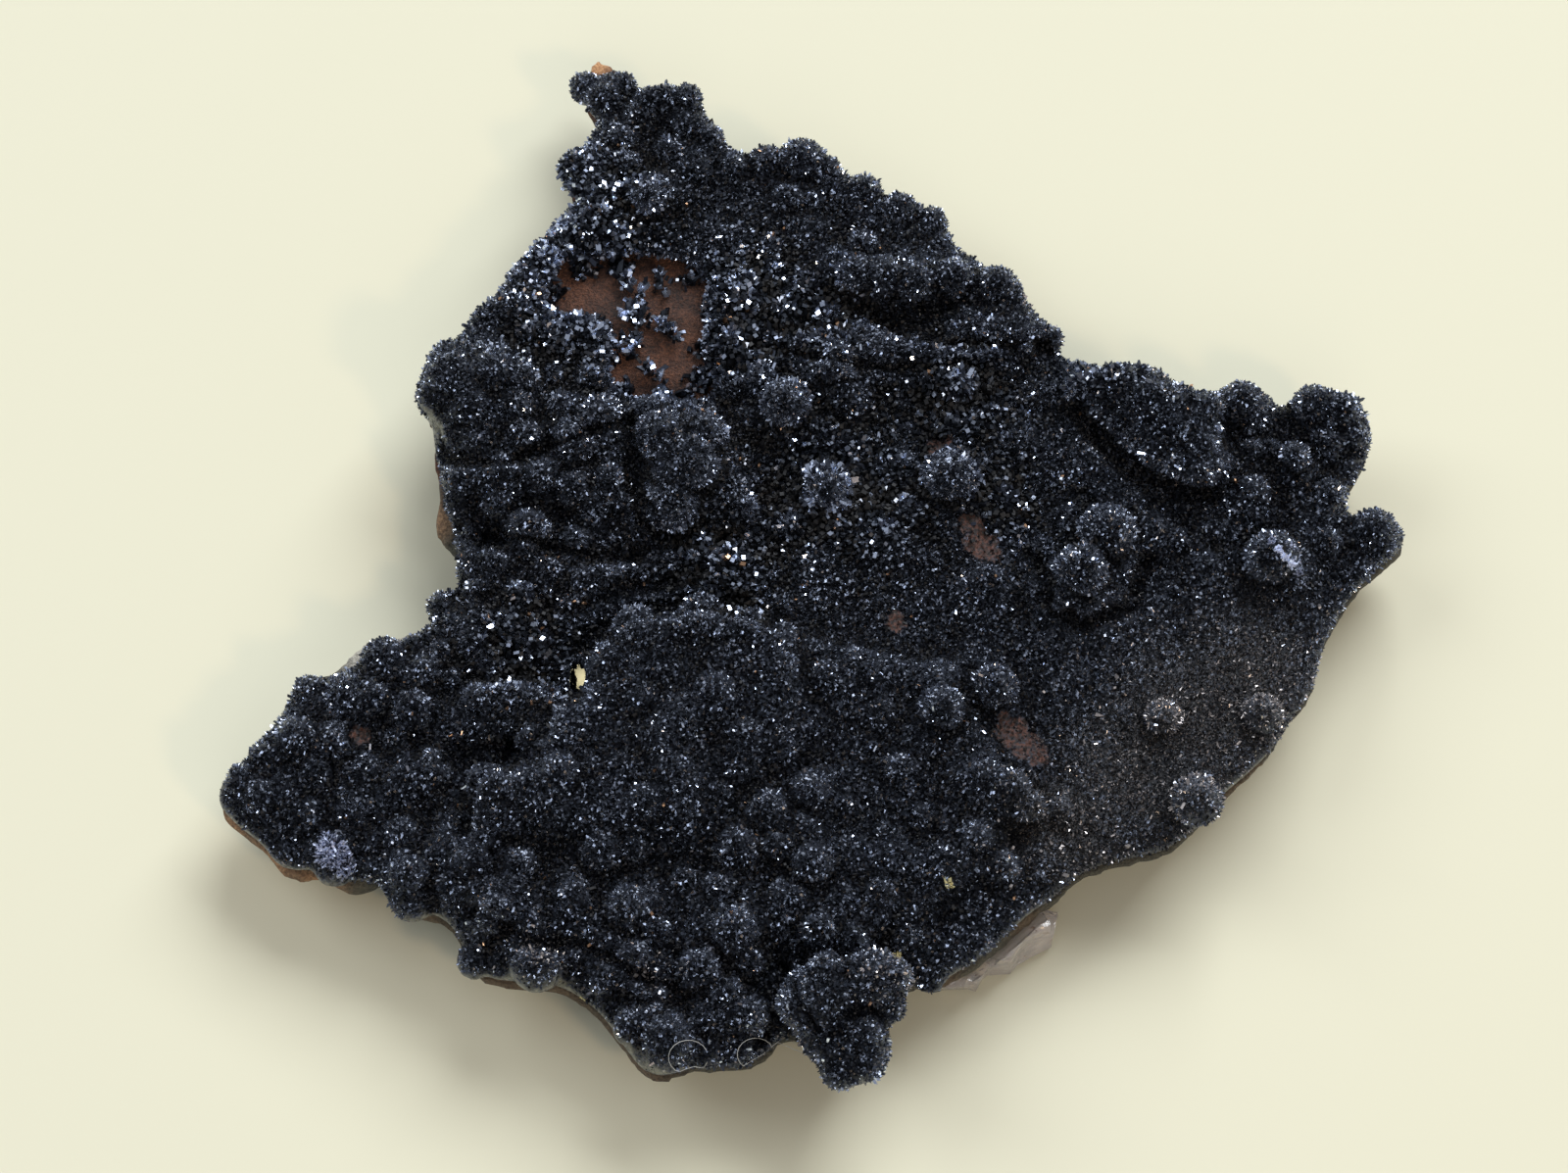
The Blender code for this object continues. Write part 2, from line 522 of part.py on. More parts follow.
def buildCrystalGroup(name, centre, spread, count, dice):
    """Blocky crystals that grow through each other on the bare plate, as one solid."""
    group = None
    for index in range(count):
        x = centre[0] + spread[0] * dice.uniform(-1, 1)
        y = centre[1] + spread[1] * (2 * index / max(count - 1, 1) - 1)
        size = dice.uniform(*CRYSTAL_SIZES)
        level = float(plateTop(np.array([x]), np.array([y]))[0])
        bpy.ops.mesh.primitive_cube_add(
            size=MM,
            location=(x * MM, y * MM, (level + CRYSTAL_CENTRE_LEVEL) * MM),
            rotation=anyTurn(dice, CRYSTAL_TILT),
        )
        block = bpy.context.active_object
        width, height = dice.uniform(*CRYSTAL_WIDTH_SHARE), dice.uniform(*CRYSTAL_HEIGHT_SHARE)
        block.scale = (size, size * width, size * height)
        bpy.ops.object.transform_apply(location=True, rotation=True, scale=True)
        if group is None:
            group = block
            continue
        union = group.modifiers.new("Union", "BOOLEAN")
        union.object = block
        union.operation = "UNION"
        union.solver = "EXACT"
        applyAll(group)
        bpy.data.objects.remove(block, do_unlink=True)
    group.name = group.data.name = name
    return group


def trimBelow(obj, floorObject, gap):
    """Cuts away what would reach into the plate."""
    raised = floorObject.copy()
    raised.data = floorObject.data.copy()
    bpy.context.scene.collection.objects.link(raised)
    raised.data.transform(Matrix.Translation((0.0, 0.0, gap * MM)))
    cut(obj, raised)
    bpy.data.objects.remove(raised, do_unlink=True)
    keepBiggest(obj)


def buildCalcite():
    dice = random.Random(SEED + 2)
    blocks = []
    for x, y, half, height in CALCITE_BLOCKS:
        bpy.ops.mesh.primitive_cube_add(
            size=MM,
            location=(x * MM, y * MM, height * MM / 2),
            rotation=anyTurn(dice, CALCITE_TILT),
        )
        blocks.append(bpy.context.active_object)
        blocks[-1].scale = (2 * half, 2 * half, height)
    bpy.ops.object.select_all(action="DESELECT")
    for block in blocks:
        block.select_set(True)
    bpy.context.view_layer.objects.active = blocks[0]
    bpy.ops.object.join()
    bpy.ops.object.transform_apply(location=True, rotation=True, scale=True)
    calcite = blocks[0]
    calcite.name = calcite.data.name = "calcite"
    remesh(calcite, CALCITE_VOXEL)
    points = readPoints(calcite)
    ceiling = plateBottom(points[:, 0], points[:, 1]) - JOINT_GAP
    points[:, 2] = np.maximum(points[:, 2], CALCITE_FOOT)
    beyond = depthInside(PLATE_LINE, points[:, 0], points[:, 1]) < -CALCITE_OVERHANG
    points[:, 2] = np.where(beyond, points[:, 2], np.minimum(points[:, 2], ceiling))
    writePoints(calcite, points)
    reduce(calcite, CALCITE_TRIANGLES)
    return calcite


def centreOnOrigin(objects):
    """Puts the middle of the underside of the whole at the origin."""
    points = np.concatenate([readPoints(obj) for obj in objects])
    low, high = points.min(axis=0), points.max(axis=0)
    shift = np.array([-(low[0] + high[0]) / 2, -(low[1] + high[1]) / 2, -low[2]])
    for obj in objects:
        writePoints(obj, readPoints(obj) + shift)
    print("plan moved by", np.round(shift, 3), "mm; size", np.round(high - low, 2), "mm")


def build():
    clearScene()
    parts = newCollection("pyrolusite_specimen")
    cutters = newCollection("cutters")
    looks = {
        "matrix": newMaterial("brown oxide matrix", (0.16, 0.07, 0.04), 0.85, 0.0),
        "crust": newMaterial("black pyrolusite", (0.02, 0.02, 0.024), 0.35, 0.6),
        "calcite": newMaterial("pale calcite", (0.82, 0.74, 0.7), 0.15, 0.0),
    }
    cutter = addHoleCutter(cutters)
    plate = buildPlate(cutter)
    crust = buildCrust(cutter)
    dice = random.Random(SEED + 1)
    groups = [buildCrystalGroup(name, *how, dice) for name, how in CRYSTAL_GROUPS.items()]
    for group in groups:
        trimBelow(group, plate, JOINT_GAP)
    calcite = buildCalcite()
    centreOnOrigin([plate, crust, *groups, calcite])
    for obj, look in [(plate, "matrix"), (crust, "crust"), (calcite, "calcite")]:
        obj.data.materials.clear()
        obj.data.materials.append(looks[look])
    for group in groups:
        group.data.materials.clear()
        group.data.materials.append(looks["crust"])
    for obj in [plate, crust, *groups, calcite]:
        moveTo(obj, parts)


build()
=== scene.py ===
import math

import bmesh
import bpy
import numpy as np
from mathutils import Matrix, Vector, kdtree
from mathutils.bvhtree import BVHTree


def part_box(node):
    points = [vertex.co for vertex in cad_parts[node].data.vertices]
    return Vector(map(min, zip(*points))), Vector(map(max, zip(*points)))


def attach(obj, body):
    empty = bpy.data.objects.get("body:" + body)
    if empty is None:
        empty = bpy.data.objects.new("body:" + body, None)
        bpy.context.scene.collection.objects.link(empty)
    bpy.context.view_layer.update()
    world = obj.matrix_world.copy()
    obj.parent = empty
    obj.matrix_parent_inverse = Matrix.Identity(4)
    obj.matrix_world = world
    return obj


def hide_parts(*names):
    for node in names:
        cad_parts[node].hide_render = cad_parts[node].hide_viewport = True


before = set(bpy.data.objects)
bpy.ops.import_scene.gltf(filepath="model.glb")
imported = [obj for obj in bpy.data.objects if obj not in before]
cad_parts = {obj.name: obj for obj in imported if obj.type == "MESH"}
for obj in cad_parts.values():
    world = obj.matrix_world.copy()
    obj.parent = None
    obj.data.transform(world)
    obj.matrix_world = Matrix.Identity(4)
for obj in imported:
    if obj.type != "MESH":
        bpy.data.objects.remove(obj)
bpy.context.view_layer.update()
mm = 0.001
planMiddle = (3.953, 5.993)  # where the box's middle lies on the specimen's own plan, in mm
print("frame loaded:", ", ".join(sorted(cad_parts)))


# plan places in mm, as on the part's own plan, to metres here
def planPoint(x, y, level=0.0):
    return Vector(((x - planMiddle[0]) * mm, (y - planMiddle[1]) * mm, level * mm))


cameraLook = {
    "elevation": math.radians(65),
    "distance": 360 * mm,
    "lens": 81.0,
    "sensor": 36.0,
    "clip": (0.01, 10.0),
    "aim": (0.0, 0.0, 8.0),
}


def cameraPlace():
    rise = cameraLook["elevation"]
    way = Vector((0, -math.cos(rise), math.sin(rise)))
    return planPoint(*cameraLook["aim"]) + cameraLook["distance"] * way


# the point of a surface that shows at this place of the plan when the camera looks at the aim's level
def seenAt(tree, x, y):
    aim = planPoint(x, y, cameraLook["aim"][2])
    ray = (aim - cameraPlace()).normalized()
    hit = tree.ray_cast(cameraPlace(), ray)[0]
    return (hit or tree.find_nearest(aim)[0]), ray


def planOf(points):
    return points[:, 0] / mm + planMiddle[0], points[:, 1] / mm + planMiddle[1]


def bell(distance, width):
    return np.exp(-((distance / width) ** 2))


# how much each point belongs to the nearest of these places, each given as (x, y, reach) in mm
def hills(x, y, places):
    total = np.zeros(np.shape(x))
    for placeX, placeY, reach in places:
        total = np.maximum(total, np.exp(-(((x - placeX) / reach) ** 2 + ((y - placeY) / reach) ** 2)))
    return total


# one wrapped socket; sums and products of wires become Math nodes
class Wire:
    def __init__(self, sheet, socket):
        self.sheet, self.socket = sheet, socket

    def worked(self, operation, first, second=0.0):
        return self.sheet.add("ShaderNodeMath", {"operation": operation}, {0: first, 1: second})

    def __add__(self, other):
        return self.worked("ADD", self, other)

    def __sub__(self, other):
        return self.worked("SUBTRACT", self, other)

    def __rsub__(self, other):
        return self.worked("SUBTRACT", other, self)

    def __mul__(self, other):
        return self.worked("MULTIPLY", self, other)

    __radd__ = __add__
    __rmul__ = __mul__

    def clamped(self):
        return self.sheet.add("ShaderNodeClamp", {}, {0: self})


# one material, whose nodes are added and wired by these methods
class Sheet:
    def __init__(self, name):
        self.material = bpy.data.materials.new(name)
        self.material.use_nodes = True
        self.tree = self.material.node_tree
        self.tree.nodes.clear()
        self.output = self.tree.nodes.new("ShaderNodeOutputMaterial")

    def add(self, kind, settings, sockets, output=0):
        node = self.tree.nodes.new(kind)
        for key, value in settings.items():
            if key == "stops":
                self.setStops(node.color_ramp, value)
            else:
                setattr(node, key, value)
        for key, value in sockets.items():
            if isinstance(value, Wire):
                self.tree.links.new(value.socket, node.inputs[key])
            else:
                node.inputs[key].default_value = value
        return Wire(self, node.outputs[output])

    def setStops(self, ramp, stops):
        while len(ramp.elements) < len(stops):
            ramp.elements.new(0.5)
        for element, (place, colour) in zip(ramp.elements, stops):
            element.position = place
            element.color = (*colour, 1.0)

    def place(self):
        return self.add("ShaderNodeTexCoord", {}, {}, "Object")

    def noise(self, size, detail=3.0, rough=0.5, stretch=(1, 1, 1)):
        where = self.place()
        if stretch != (1, 1, 1):
            where = self.add("ShaderNodeMapping", {}, {"Vector": where, "Scale": stretch})
        return self.add("ShaderNodeTexNoise", {},
                        {"Vector": where, "Scale": 1 / size, "Detail": detail, "Roughness": rough})

    def cells(self, size, output="Distance"):
        return self.add("ShaderNodeTexVoronoi", {}, {"Vector": self.place(), "Scale": 1 / size}, output)

    def ramp(self, value, stops):
        return self.add("ShaderNodeValToRGB", {"stops": stops}, {0: value})

    def attribute(self, name):
        return self.add("ShaderNodeAttribute", {"attribute_name": name}, {}, "Fac")

    # the numbers are the colour sockets of a Mix node
    def mixed(self, share, first, second):
        first, second = [(*c, 1.0) if isinstance(c, tuple) else c for c in (first, second)]
        return self.add("ShaderNodeMix", {"data_type": "RGBA"}, {0: share, 6: first, 7: second}, 2)

    def vector(self, operation, sockets):
        return self.add("ShaderNodeVectorMath", {"operation": operation}, sockets)

    # every cell of this size is a small flat face that leans its own way
    def facets(self, size, lean):
        way = self.vector("SUBTRACT", {0: self.cells(size, "Color"), 1: (0.5, 0.5, 0.5)})
        return self.vector("SCALE", {0: way, "Scale": lean})

    def leaning(self, way):
        upright = self.add("ShaderNodeNewGeometry", {}, {}, "Normal")
        return self.vector("NORMALIZE", {0: self.vector("ADD", {0: upright, 1: way})})

    def bump(self, height, depth, strength=1.0):
        return self.add("ShaderNodeBump", {}, {"Height": height, "Distance": depth, "Strength": strength})

    def finish(self, sockets):
        shader = self.add("ShaderNodeBsdfPrincipled", {}, sockets)
        self.tree.links.new(shader.socket, self.output.inputs["Surface"])
        return self.material


def linked(name, data):
    obj = bpy.data.objects.new(name, data)
    bpy.context.scene.collection.objects.link(obj)
    return obj


def activate(obj):
    bpy.ops.object.select_all(action="DESELECT")
    obj.select_set(True)
    bpy.context.view_layer.objects.active = obj


def applied(obj, kind, **settings):
    activate(obj)
    modifier = obj.modifiers.new(kind.lower(), kind)
    for key, value in settings.items():
        setattr(modifier, key, value)
    bpy.ops.object.modifier_apply(modifier=modifier.name)


# the second object becomes part of the first
def join(first, second):
    activate(first)
    second.select_set(True)
    bpy.ops.object.join()
    first.data.name = first.name


# a copy of a solid, with the corners that its faces share made one
def mergedCopy(nodeName, name):
    piece = linked(name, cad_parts[nodeName].data.copy())
    piece.data.materials.clear()
    activate(piece)
    bpy.ops.object.mode_set(mode="EDIT")
    bpy.ops.mesh.select_all(action="SELECT")
    bpy.ops.mesh.remove_doubles(threshold=1e-6)
    bpy.ops.object.mode_set(mode="OBJECT")
    return piece


def pointsOf(obj):
    flat = np.empty(len(obj.data.vertices) * 3)
    obj.data.vertices.foreach_get("co", flat)
    return flat.reshape(-1, 3)


def normalsOf(obj):
    flat = np.empty(len(obj.data.vertices) * 3, np.float32)
    obj.data.vertex_normals.foreach_get("vector", flat)
    return flat.reshape(-1, 3).astype(float)


def movePoints(obj, points):
    obj.data.vertices.foreach_set("co", points.ravel())
    obj.data.update()


def keepValue(obj, name, values):
    layer = obj.data.attributes.new(name, "FLOAT", "POINT")
    layer.data.foreach_set("value", np.asarray(values, np.float32))


# how far each point is from the nearest of the seeds, and which one that is
def nearestSeeds(points, seeds):
    tree = kdtree.KDTree(len(seeds))
    for index, seed in enumerate(seeds):
        tree.insert(seed, index)
    tree.balance()
    found = [tree.find(point) for point in points]
    return np.array([item[2] for item in found]), np.array([item[1] for item in found])


def trianglesOf(obj):
    obj.data.calc_loop_triangles()
    flat = np.empty(len(obj.data.loop_triangles) * 3, np.int32)
    obj.data.loop_triangles.foreach_get("vertices", flat)
    return flat.reshape(-1, 3)


# points strewn over a surface, as thick as the given density says at each place
def strewn(obj, count, density, dice):
    points, normals, corners = pointsOf(obj), normalsOf(obj), trianglesOf(obj)
    a, b, c = (points[corners[:, index]] for index in range(3))
    area = np.linalg.norm(np.cross(b - a, c - a), axis=1) / 2
    middle = (a + b + c) / 3
    facing = normals[corners].mean(axis=1)
    weight = area * density(middle, facing)
    chosen = dice.choice(len(weight), size=count, p=weight / weight.sum())
    u, v = dice.random(count), dice.random(count)
    over = u + v > 1
    u, v = np.where(over, 1 - u, u), np.where(over, 1 - v, v)
    w = 1 - u - v
    shares = np.stack([w, u, v], axis=1)[:, :, None]
    places = (points[corners[chosen]] * shares).sum(axis=1)
    outward = (normals[corners[chosen]] * shares).sum(axis=1)

    def spread(values):
        return (np.asarray(values)[corners[chosen]] * shares[:, :, 0]).sum(axis=1)

    return places, outward / np.linalg.norm(outward, axis=1, keepdims=True), spread


# the bodies of single crystals in unit size, each made once and then copied by the thousand
crystalLook = {
    "middle": (0, 0, 0.3),
    "blockTop": 0.84,
    "roofTop": 0.8,
    "tipTop": 1.0,
    "flatness": (0.6, 1.0),
    "mapReach": 0.38,
}


def makeBlockTemplate():
    bpy.ops.mesh.primitive_cube_add(size=1.0, location=crystalLook["middle"])
    return finishTemplate(crystalLook["blockTop"])


def makeRoofTemplate():
    bpy.ops.mesh.primitive_cube_add(size=1.0, location=crystalLook["middle"])
    block = bpy.context.active_object
    bpy.ops.object.mode_set(mode="EDIT")
    work = bmesh.from_edit_mesh(block.data)
    for vert in work.verts:
        if vert.co.z > 0:
            vert.co.x = 0.0
    bmesh.ops.remove_doubles(work, verts=work.verts, dist=1e-4)
    bmesh.update_edit_mesh(block.data)
    bpy.ops.object.mode_set(mode="OBJECT")
    return finishTemplate(crystalLook["roofTop"])


def makeTipTemplate():
    bpy.ops.mesh.primitive_cone_add(vertices=3, radius1=0.6, depth=1.0, location=crystalLook["middle"],
                                    end_fill_type="NOTHING")
    return finishTemplate(crystalLook["tipTop"])


# the top is made narrower, and the face that the crystal stands on is left out
def finishTemplate(topShare):
    template = bpy.context.active_object
    bpy.ops.object.transform_apply(location=True, rotation=True, scale=True)
    work = bmesh.new()
    work.from_mesh(template.data)
    for vert in work.verts:
        if vert.co.z > 0:
            vert.co.x *= topShare
            vert.co.y *= topShare
    hidden = [face for face in work.faces if all(vert.co.z < 0 for vert in face.verts)]
    bmesh.ops.delete(work, geom=hidden, context="FACES_ONLY")
    work.to_mesh(template.data)
    work.free()
    points = pointsOf(template)
    faces = [tuple(face.vertices) for face in template.data.polygons]
    bpy.data.objects.remove(template, do_unlink=True)
    return points, faces


# copies of one body, each turned, sized and cut aslant in its own way, as one mesh
def grown(name, body, places, outward, sizes, look, dice, materials, tones, sway=1.0):
    shape, faces = body
    count = len(places)
    axis = outward + look["lean"] * sway * dice.normal(size=(count, 3))
    axis /= np.linalg.norm(axis, axis=1, keepdims=True)
    side = np.cross(axis, dice.normal(size=(count, 3)))
    side /= np.linalg.norm(side, axis=1, keepdims=True)
    third = np.cross(axis, side)
    local = np.repeat(shape[None], count, axis=0)
    tilt = dice.normal(scale=look["slant"], size=(count, 2))
    top = local[:, :, 2] > 0
    local[:, :, 2] += top * (local[:, :, 0] * tilt[:, :1] + local[:, :, 1] * tilt[:, 1:])
    local[:, :, 1] *= dice.uniform(*crystalLook["flatness"], size=(count, 1))
    local[:, :, :2] *= sizes[0][:, None, None]
    local[:, :, 2] *= sizes[1][:, None]
    turned = np.stack([side, third, axis], axis=2)
    points = places[:, None, :] + np.einsum("nij,nkj->nki", turned, local)
    mesh = bpy.data.meshes.new(name)
    starts = np.arange(count)[:, None] * len(shape)
    listed = [row for face in faces for row in (starts + np.array(face)).tolist()]
    mesh.from_pydata(points.reshape(-1, 3).tolist(), [], listed)
    for material in materials:
        mesh.materials.append(material)
    mesh.polygons.foreach_set("material_index", np.tile(tones, len(faces)).astype(np.int32))
    spreadMap(mesh, faces, count)
    mesh.update()
    return linked(name, mesh)


# the widths and lengths of this many crystals
def sizesOf(look, count, dice):
    widths = dice.uniform(*look["width"], size=count)
    return np.array([widths, widths * dice.uniform(*look["stretch"], size=count)])


# each crystal has one small square of the piece's map to itself
def spreadMap(mesh, faces, count):
    across = math.ceil(math.sqrt(count))
    corners = []
    for face in faces:
        turn = np.arange(len(face)) / len(face) * 2 * math.pi
        ring = np.stack([np.cos(turn), np.sin(turn)], axis=1) * crystalLook["mapReach"] + 0.5
        cell = np.stack([np.arange(count) % across, np.arange(count) // across], axis=1)
        corners.append(((cell[:, None, :] + ring[None]) / across).reshape(-1, 2))
    layer = mesh.uv_layers.new(name="OFBake")
    layer.data.foreach_set("uv", np.concatenate(corners).astype(np.float32).ravel())


# where on the plan the crust is coarse, velvety, worn, broken, dusty or pale, where it has more bright
# crystals, and where light is painted on it as more dark-steel and fewer bright-steel crystals, as (x, y,
# reach) in mm
crustZones = {
    "coarse": [(-20, 38, 10), (-22, 30, 8), (-4, 34, 7), (-4, 27, 6), (6, 10, 11), (-6, 2, 7), (18, 20, 8),
               (32, 23, 4), (22, 9, 6), (-26, -7, 6), (-20, 46, 6), (3, 31, 6)],
    "paintedLitZone": [(-12, -38, 15), (2, -27, 10), (-28, -28, 9)],
    "velvet": [(47, -10.5, 7.5), (42, -15, 9), (35, -21, 7.5), (29, -27, 6)],
    "sparkle": [(-22, 39, 5), (-26, 36, 4), (-17, 44, 4), (-21, 50, 4), (6, 45, 5), (-4, 36, 4), (2, 9, 4)],
    "brownPatch": [(22.6, -16.8, 2.0), (23.8, -18.0, 1.9), (25.2, -19.2, 1.4)],
    "brownPit": [(16.2, 15.4, 1.6), (20.0, 4.4, 2.0), (19.2, 6.2, 1.5), (21.0, 3.0, 1.3), (11.4, -4.4, 1.3),
                 (-42.2, -17.2, 1.1)],
    "brokenEdge": [(-56, -24, 3), (-53, -27.5, 3), (-49.5, -30.5, 3), (-46, -32, 2.5), (-34.5, -36.5, 2.5),
                   (-30, -42, 3), (-26, -43, 3), (-21, -44, 3), (-17, -47, 3), (-14, -50.5, 3),
                   (-36.4, 16.8, 2), (16, -42, 1.6), (24, -35.5, 1.6), (45, -21.5, 1.6), (47, -19, 1.4)],
    "dusty": [(-24, -40.6, 2.4), (9.6, -43.6, 2.6), (-12.5, -42.5, 1.6), (41, -23.4, 2.6), (38, -14.6, 2),
              (48, -14.2, 2)],
    "pale": [(-44.4, -30.2, 1.5), (51.9, 1.0, 0.9), (51.2, 2.4, 0.9), (52.5, -0.4, 0.9)],
}

# rounded lobes of the crust by where they show: x, y, radius and how far they stand out, in tenths of a mm
lobeTenths = {
    "tip": [
        (-216, 600, 19, 5), (-195, 585, 22, 6), (-174, 606, 13, 5), (-146, 584, 17, 6), (-129, 590, 14, 7),
        (-104, 588, 16, 9), (-155, 562, 20, 7), (-106, 552, 22, 8), (-82, 535, 18, 5), (-225, 500, 18, 5),
        (-218, 480, 15, 5), (-175, 530, 24, 6), (-170, 496, 22, 6), (-146, 465, 19, 13), (-122, 515, 20, 5),
        (-188, 465, 15, 6),
    ],
    "upperEdge": [
        (-18, 502, 22, 6), (20, 506, 26, 8), (46, 496, 16, 5), (-55, 494, 18, 5), (4, 460, 18, 6),
        (30, 454, 16, 6), (85, 465, 22, 5), (125, 445, 20, 5), (158, 430, 18, 5), (84, 396, 22, 7),
        (180, 360, 24, 9), (226, 354, 20, 5),
    ],
    "besideWindow": [
        (-70, 332, 14, 6), (-66, 306, 16, 6), (-56, 282, 15, 6), (-82, 260, 11, 5), (5, 316, 22, 8),
        (45, 310, 22, 8), (-15, 396, 16, 8), (-12, 370, 13, 6), (56, 258, 23, 16), (2, 213, 26, 20),
        (-26, 234, 22, 12), (-52, 228, 19, 10), (76, 366, 22, 12), (106, 364, 23, 12), (138, 358, 22, 10),
        (66, 344, 19, 9), (-276, 356, 16, 6), (-254, 384, 14, 6), (-224, 420, 16, 6), (-288, 326, 18, 6),
    ],
    "leftBlock": [
        (-346, 238, 30, 9), (-306, 246, 26, 8), (-280, 240, 22, 7), (-328, 208, 26, 7), (-366, 218, 18, 5),
        (-284, 206, 22, 6), (-246, 240, 18, 7), (-208, 240, 18, 7), (-234, 204, 18, 7), (-240, 284, 19, 7),
        (-212, 290, 16, 6), (-268, 290, 17, 6),
    ],
    "leftShelf": [
        (-190, 190, 28, 12), (-218, 164, 28, 11), (-146, 198, 20, 9), (-316, 166, 24, 7),
        (-272, 172, 22, 7), (-334, 124, 22, 7), (-292, 134, 22, 7), (-252, 126, 22, 7), (-336, 94, 16, 6),
        (-296, 96, 18, 7), (-218, 112, 24, 8), (-180, 120, 20, 7), (-126, 166, 34, 15), (-104, 136, 39, 17),
        (-116, 98, 34, 15), (-86, 172, 28, 10),
    ],
    "valley": [
        (-322, 52, 18, 7), (-264, 58, 28, 12), (-216, 44, 22, 9), (-296, 26, 20, 7), (-240, 20, 22, 7),
        (-82, 36, 22, 10), (-314, -10, 20, 7), (-270, -18, 22, 7), (-220, -30, 22, 7), (44, 114, 23, 16),
        (-44, 90, 16, 6), (6, 64, 17, 6), (180, 236, 19, 10), (172, 126, 29, 17), (130, 84, 18, 6),
        (226, 94, 16, 6),
    ],
    "lowerMassRim": [
        (-150, -46, 26, 12), (-116, -48, 20, 9), (-82, -36, 28, 13), (-36, -42, 22, 10), (-6, -56, 20, 8),
        (-176, -82, 20, 7), (-226, -208, 24, 9), (-296, -214, 22, 10), (-272, -220, 18, 8),
        (-230, -134, 17, 9), (-254, -170, 16, 6), (-138, -130, 24, 6), (-70, -120, 22, 5),
        (-40, -168, 24, 6), (40, -106, 22, 6), (96, -146, 22, 6),
    ],
    "wing": [
        (-346, -22, 20, 6), (-314, -66, 20, 7), (-346, -78, 18, 9), (-404, -82, 24, 11), (-362, -98, 22, 9),
        (-414, -126, 22, 10), (-374, -138, 24, 9), (-334, -108, 20, 8), (-304, -126, 20, 9),
        (-274, -126, 20, 9), (-248, -128, 16, 7), (-476, -120, 20, 6), (-488, -170, 24, 10),
        (-452, -174, 22, 8), (-516, -188, 18, 7), (-466, -206, 22, 7), (-416, -204, 20, 7),
        (-518, -232, 22, 6), (-352, -200, 26, 12), (-386, -170, 20, 7), (-472, -254, 24, 7),
        (-426, -250, 22, 7), (-378, -274, 22, 9), (-368, -314, 23, 11), (-364, -340, 22, 10),
        (-538, -212, 17, 5), (-442, -304, 21, 7), (-402, -306, 16, 5),
    ],
    "front": [
        (-178, -288, 26, 11), (-148, -284, 21, 10), (-138, -238, 22, 8), (-16, -248, 26, 12),
        (26, -226, 22, 11), (-46, -288, 28, 13), (28, -304, 25, 13), (-6, -284, 18, 8),
        (-152, -348, 23, 11), (-126, -370, 17, 8), (-208, -340, 24, 8), (-62, -328, 19, 8),
        (-50, -372, 27, 13), (4, -340, 24, 11), (34, -372, 21, 10), (-144, -398, 18, 10),
        (-118, -408, 20, 11), (-80, -410, 25, 16), (-38, -400, 21, 13), (42, -410, 18, 11),
        (64, -382, 22, 10), (-282, -352, 22, 10), (-240, -406, 27, 15), (-300, -402, 19, 8),
        (-294, -372, 16, 7), (-206, -392, 17, 6), (-140, -430, 13, 8), (-122, -438, 12, 7),
        (-176, -424, 15, 7), (-56, -436, 19, 10), (-78, -460, 17, 8), (-36, -460, 21, 11),
        (-148, -470, 18, 8), (-112, -484, 31, 14), (-74, -492, 19, 8), (-46, -492, 18, 7),
        (-260, -304, 22, 8), (-306, -300, 22, 8), (-98, -320, 18, 6), (96, -334, 20, 7),
    ],
    "bigLobe": [
        (20, -446, 25, 6), (46, -436, 23, 5), (86, -426, 23, 6), (108, -418, 18, 6), (102, -448, 17, 6),
        (32, -464, 17, 6), (78, -476, 21, 8), (54, -512, 20, 5), (80, -506, 18, 5), (44, -490, 17, 5),
    ],
    "lowerRight": [
        (142, -424, 17, 6), (118, -378, 15, 7), (190, -384, 13, 6), (228, -218, 17, 8), (244, -240, 17, 8),
        (272, -248, 18, 7), (188, -276, 19, 9), (212, -306, 21, 7), (114, -202, 18, 6), (410, -234, 26, 18),
        (380, -146, 19, 12), (480, -142, 21, 12), (158, -136, 24, 13), (212, -112, 24, 19),
        (338, -142, 13, 4), (136, -254, 20, 5),
    ],
    "rightSlab": [
        (310, 226, 16, 7), (326, 206, 15, 7), (344, 186, 15, 7), (362, 168, 15, 7), (384, 152, 15, 7),
        (408, 139, 15, 7), (430, 130, 15, 7), (346, 230, 18, 3), (384, 220, 19, 3), (412, 182, 18, 3),
        (436, 162, 15, 4), (254, 286, 14, 8), (280, 288, 15, 6),
    ],
    "rightEdge": [
        (442, 206, 18, 6), (478, 212, 23, 8), (530, 148, 17, 12), (486, 154, 13, 7), (506, 158, 11, 6),
        (484, 108, 17, 8), (554, 206, 24, 7), (584, 202, 20, 7), (592, 172, 18, 6), (566, 162, 23, 7),
        (560, 104, 19, 7), (606, 62, 24, 5), (556, 48, 17, 6), (332, 60, 31, 13), (304, 18, 28, 19),
        (282, -16, 14, 8), (266, 38, 17, 8), (500, 32, 29, 13), (456, 60, 18, 6), (400, 50, 16, 5),
    ],
}
lobes = {name: [[value / 10 for value in lobe] for lobe in group] for name, group in lobeTenths.items()}

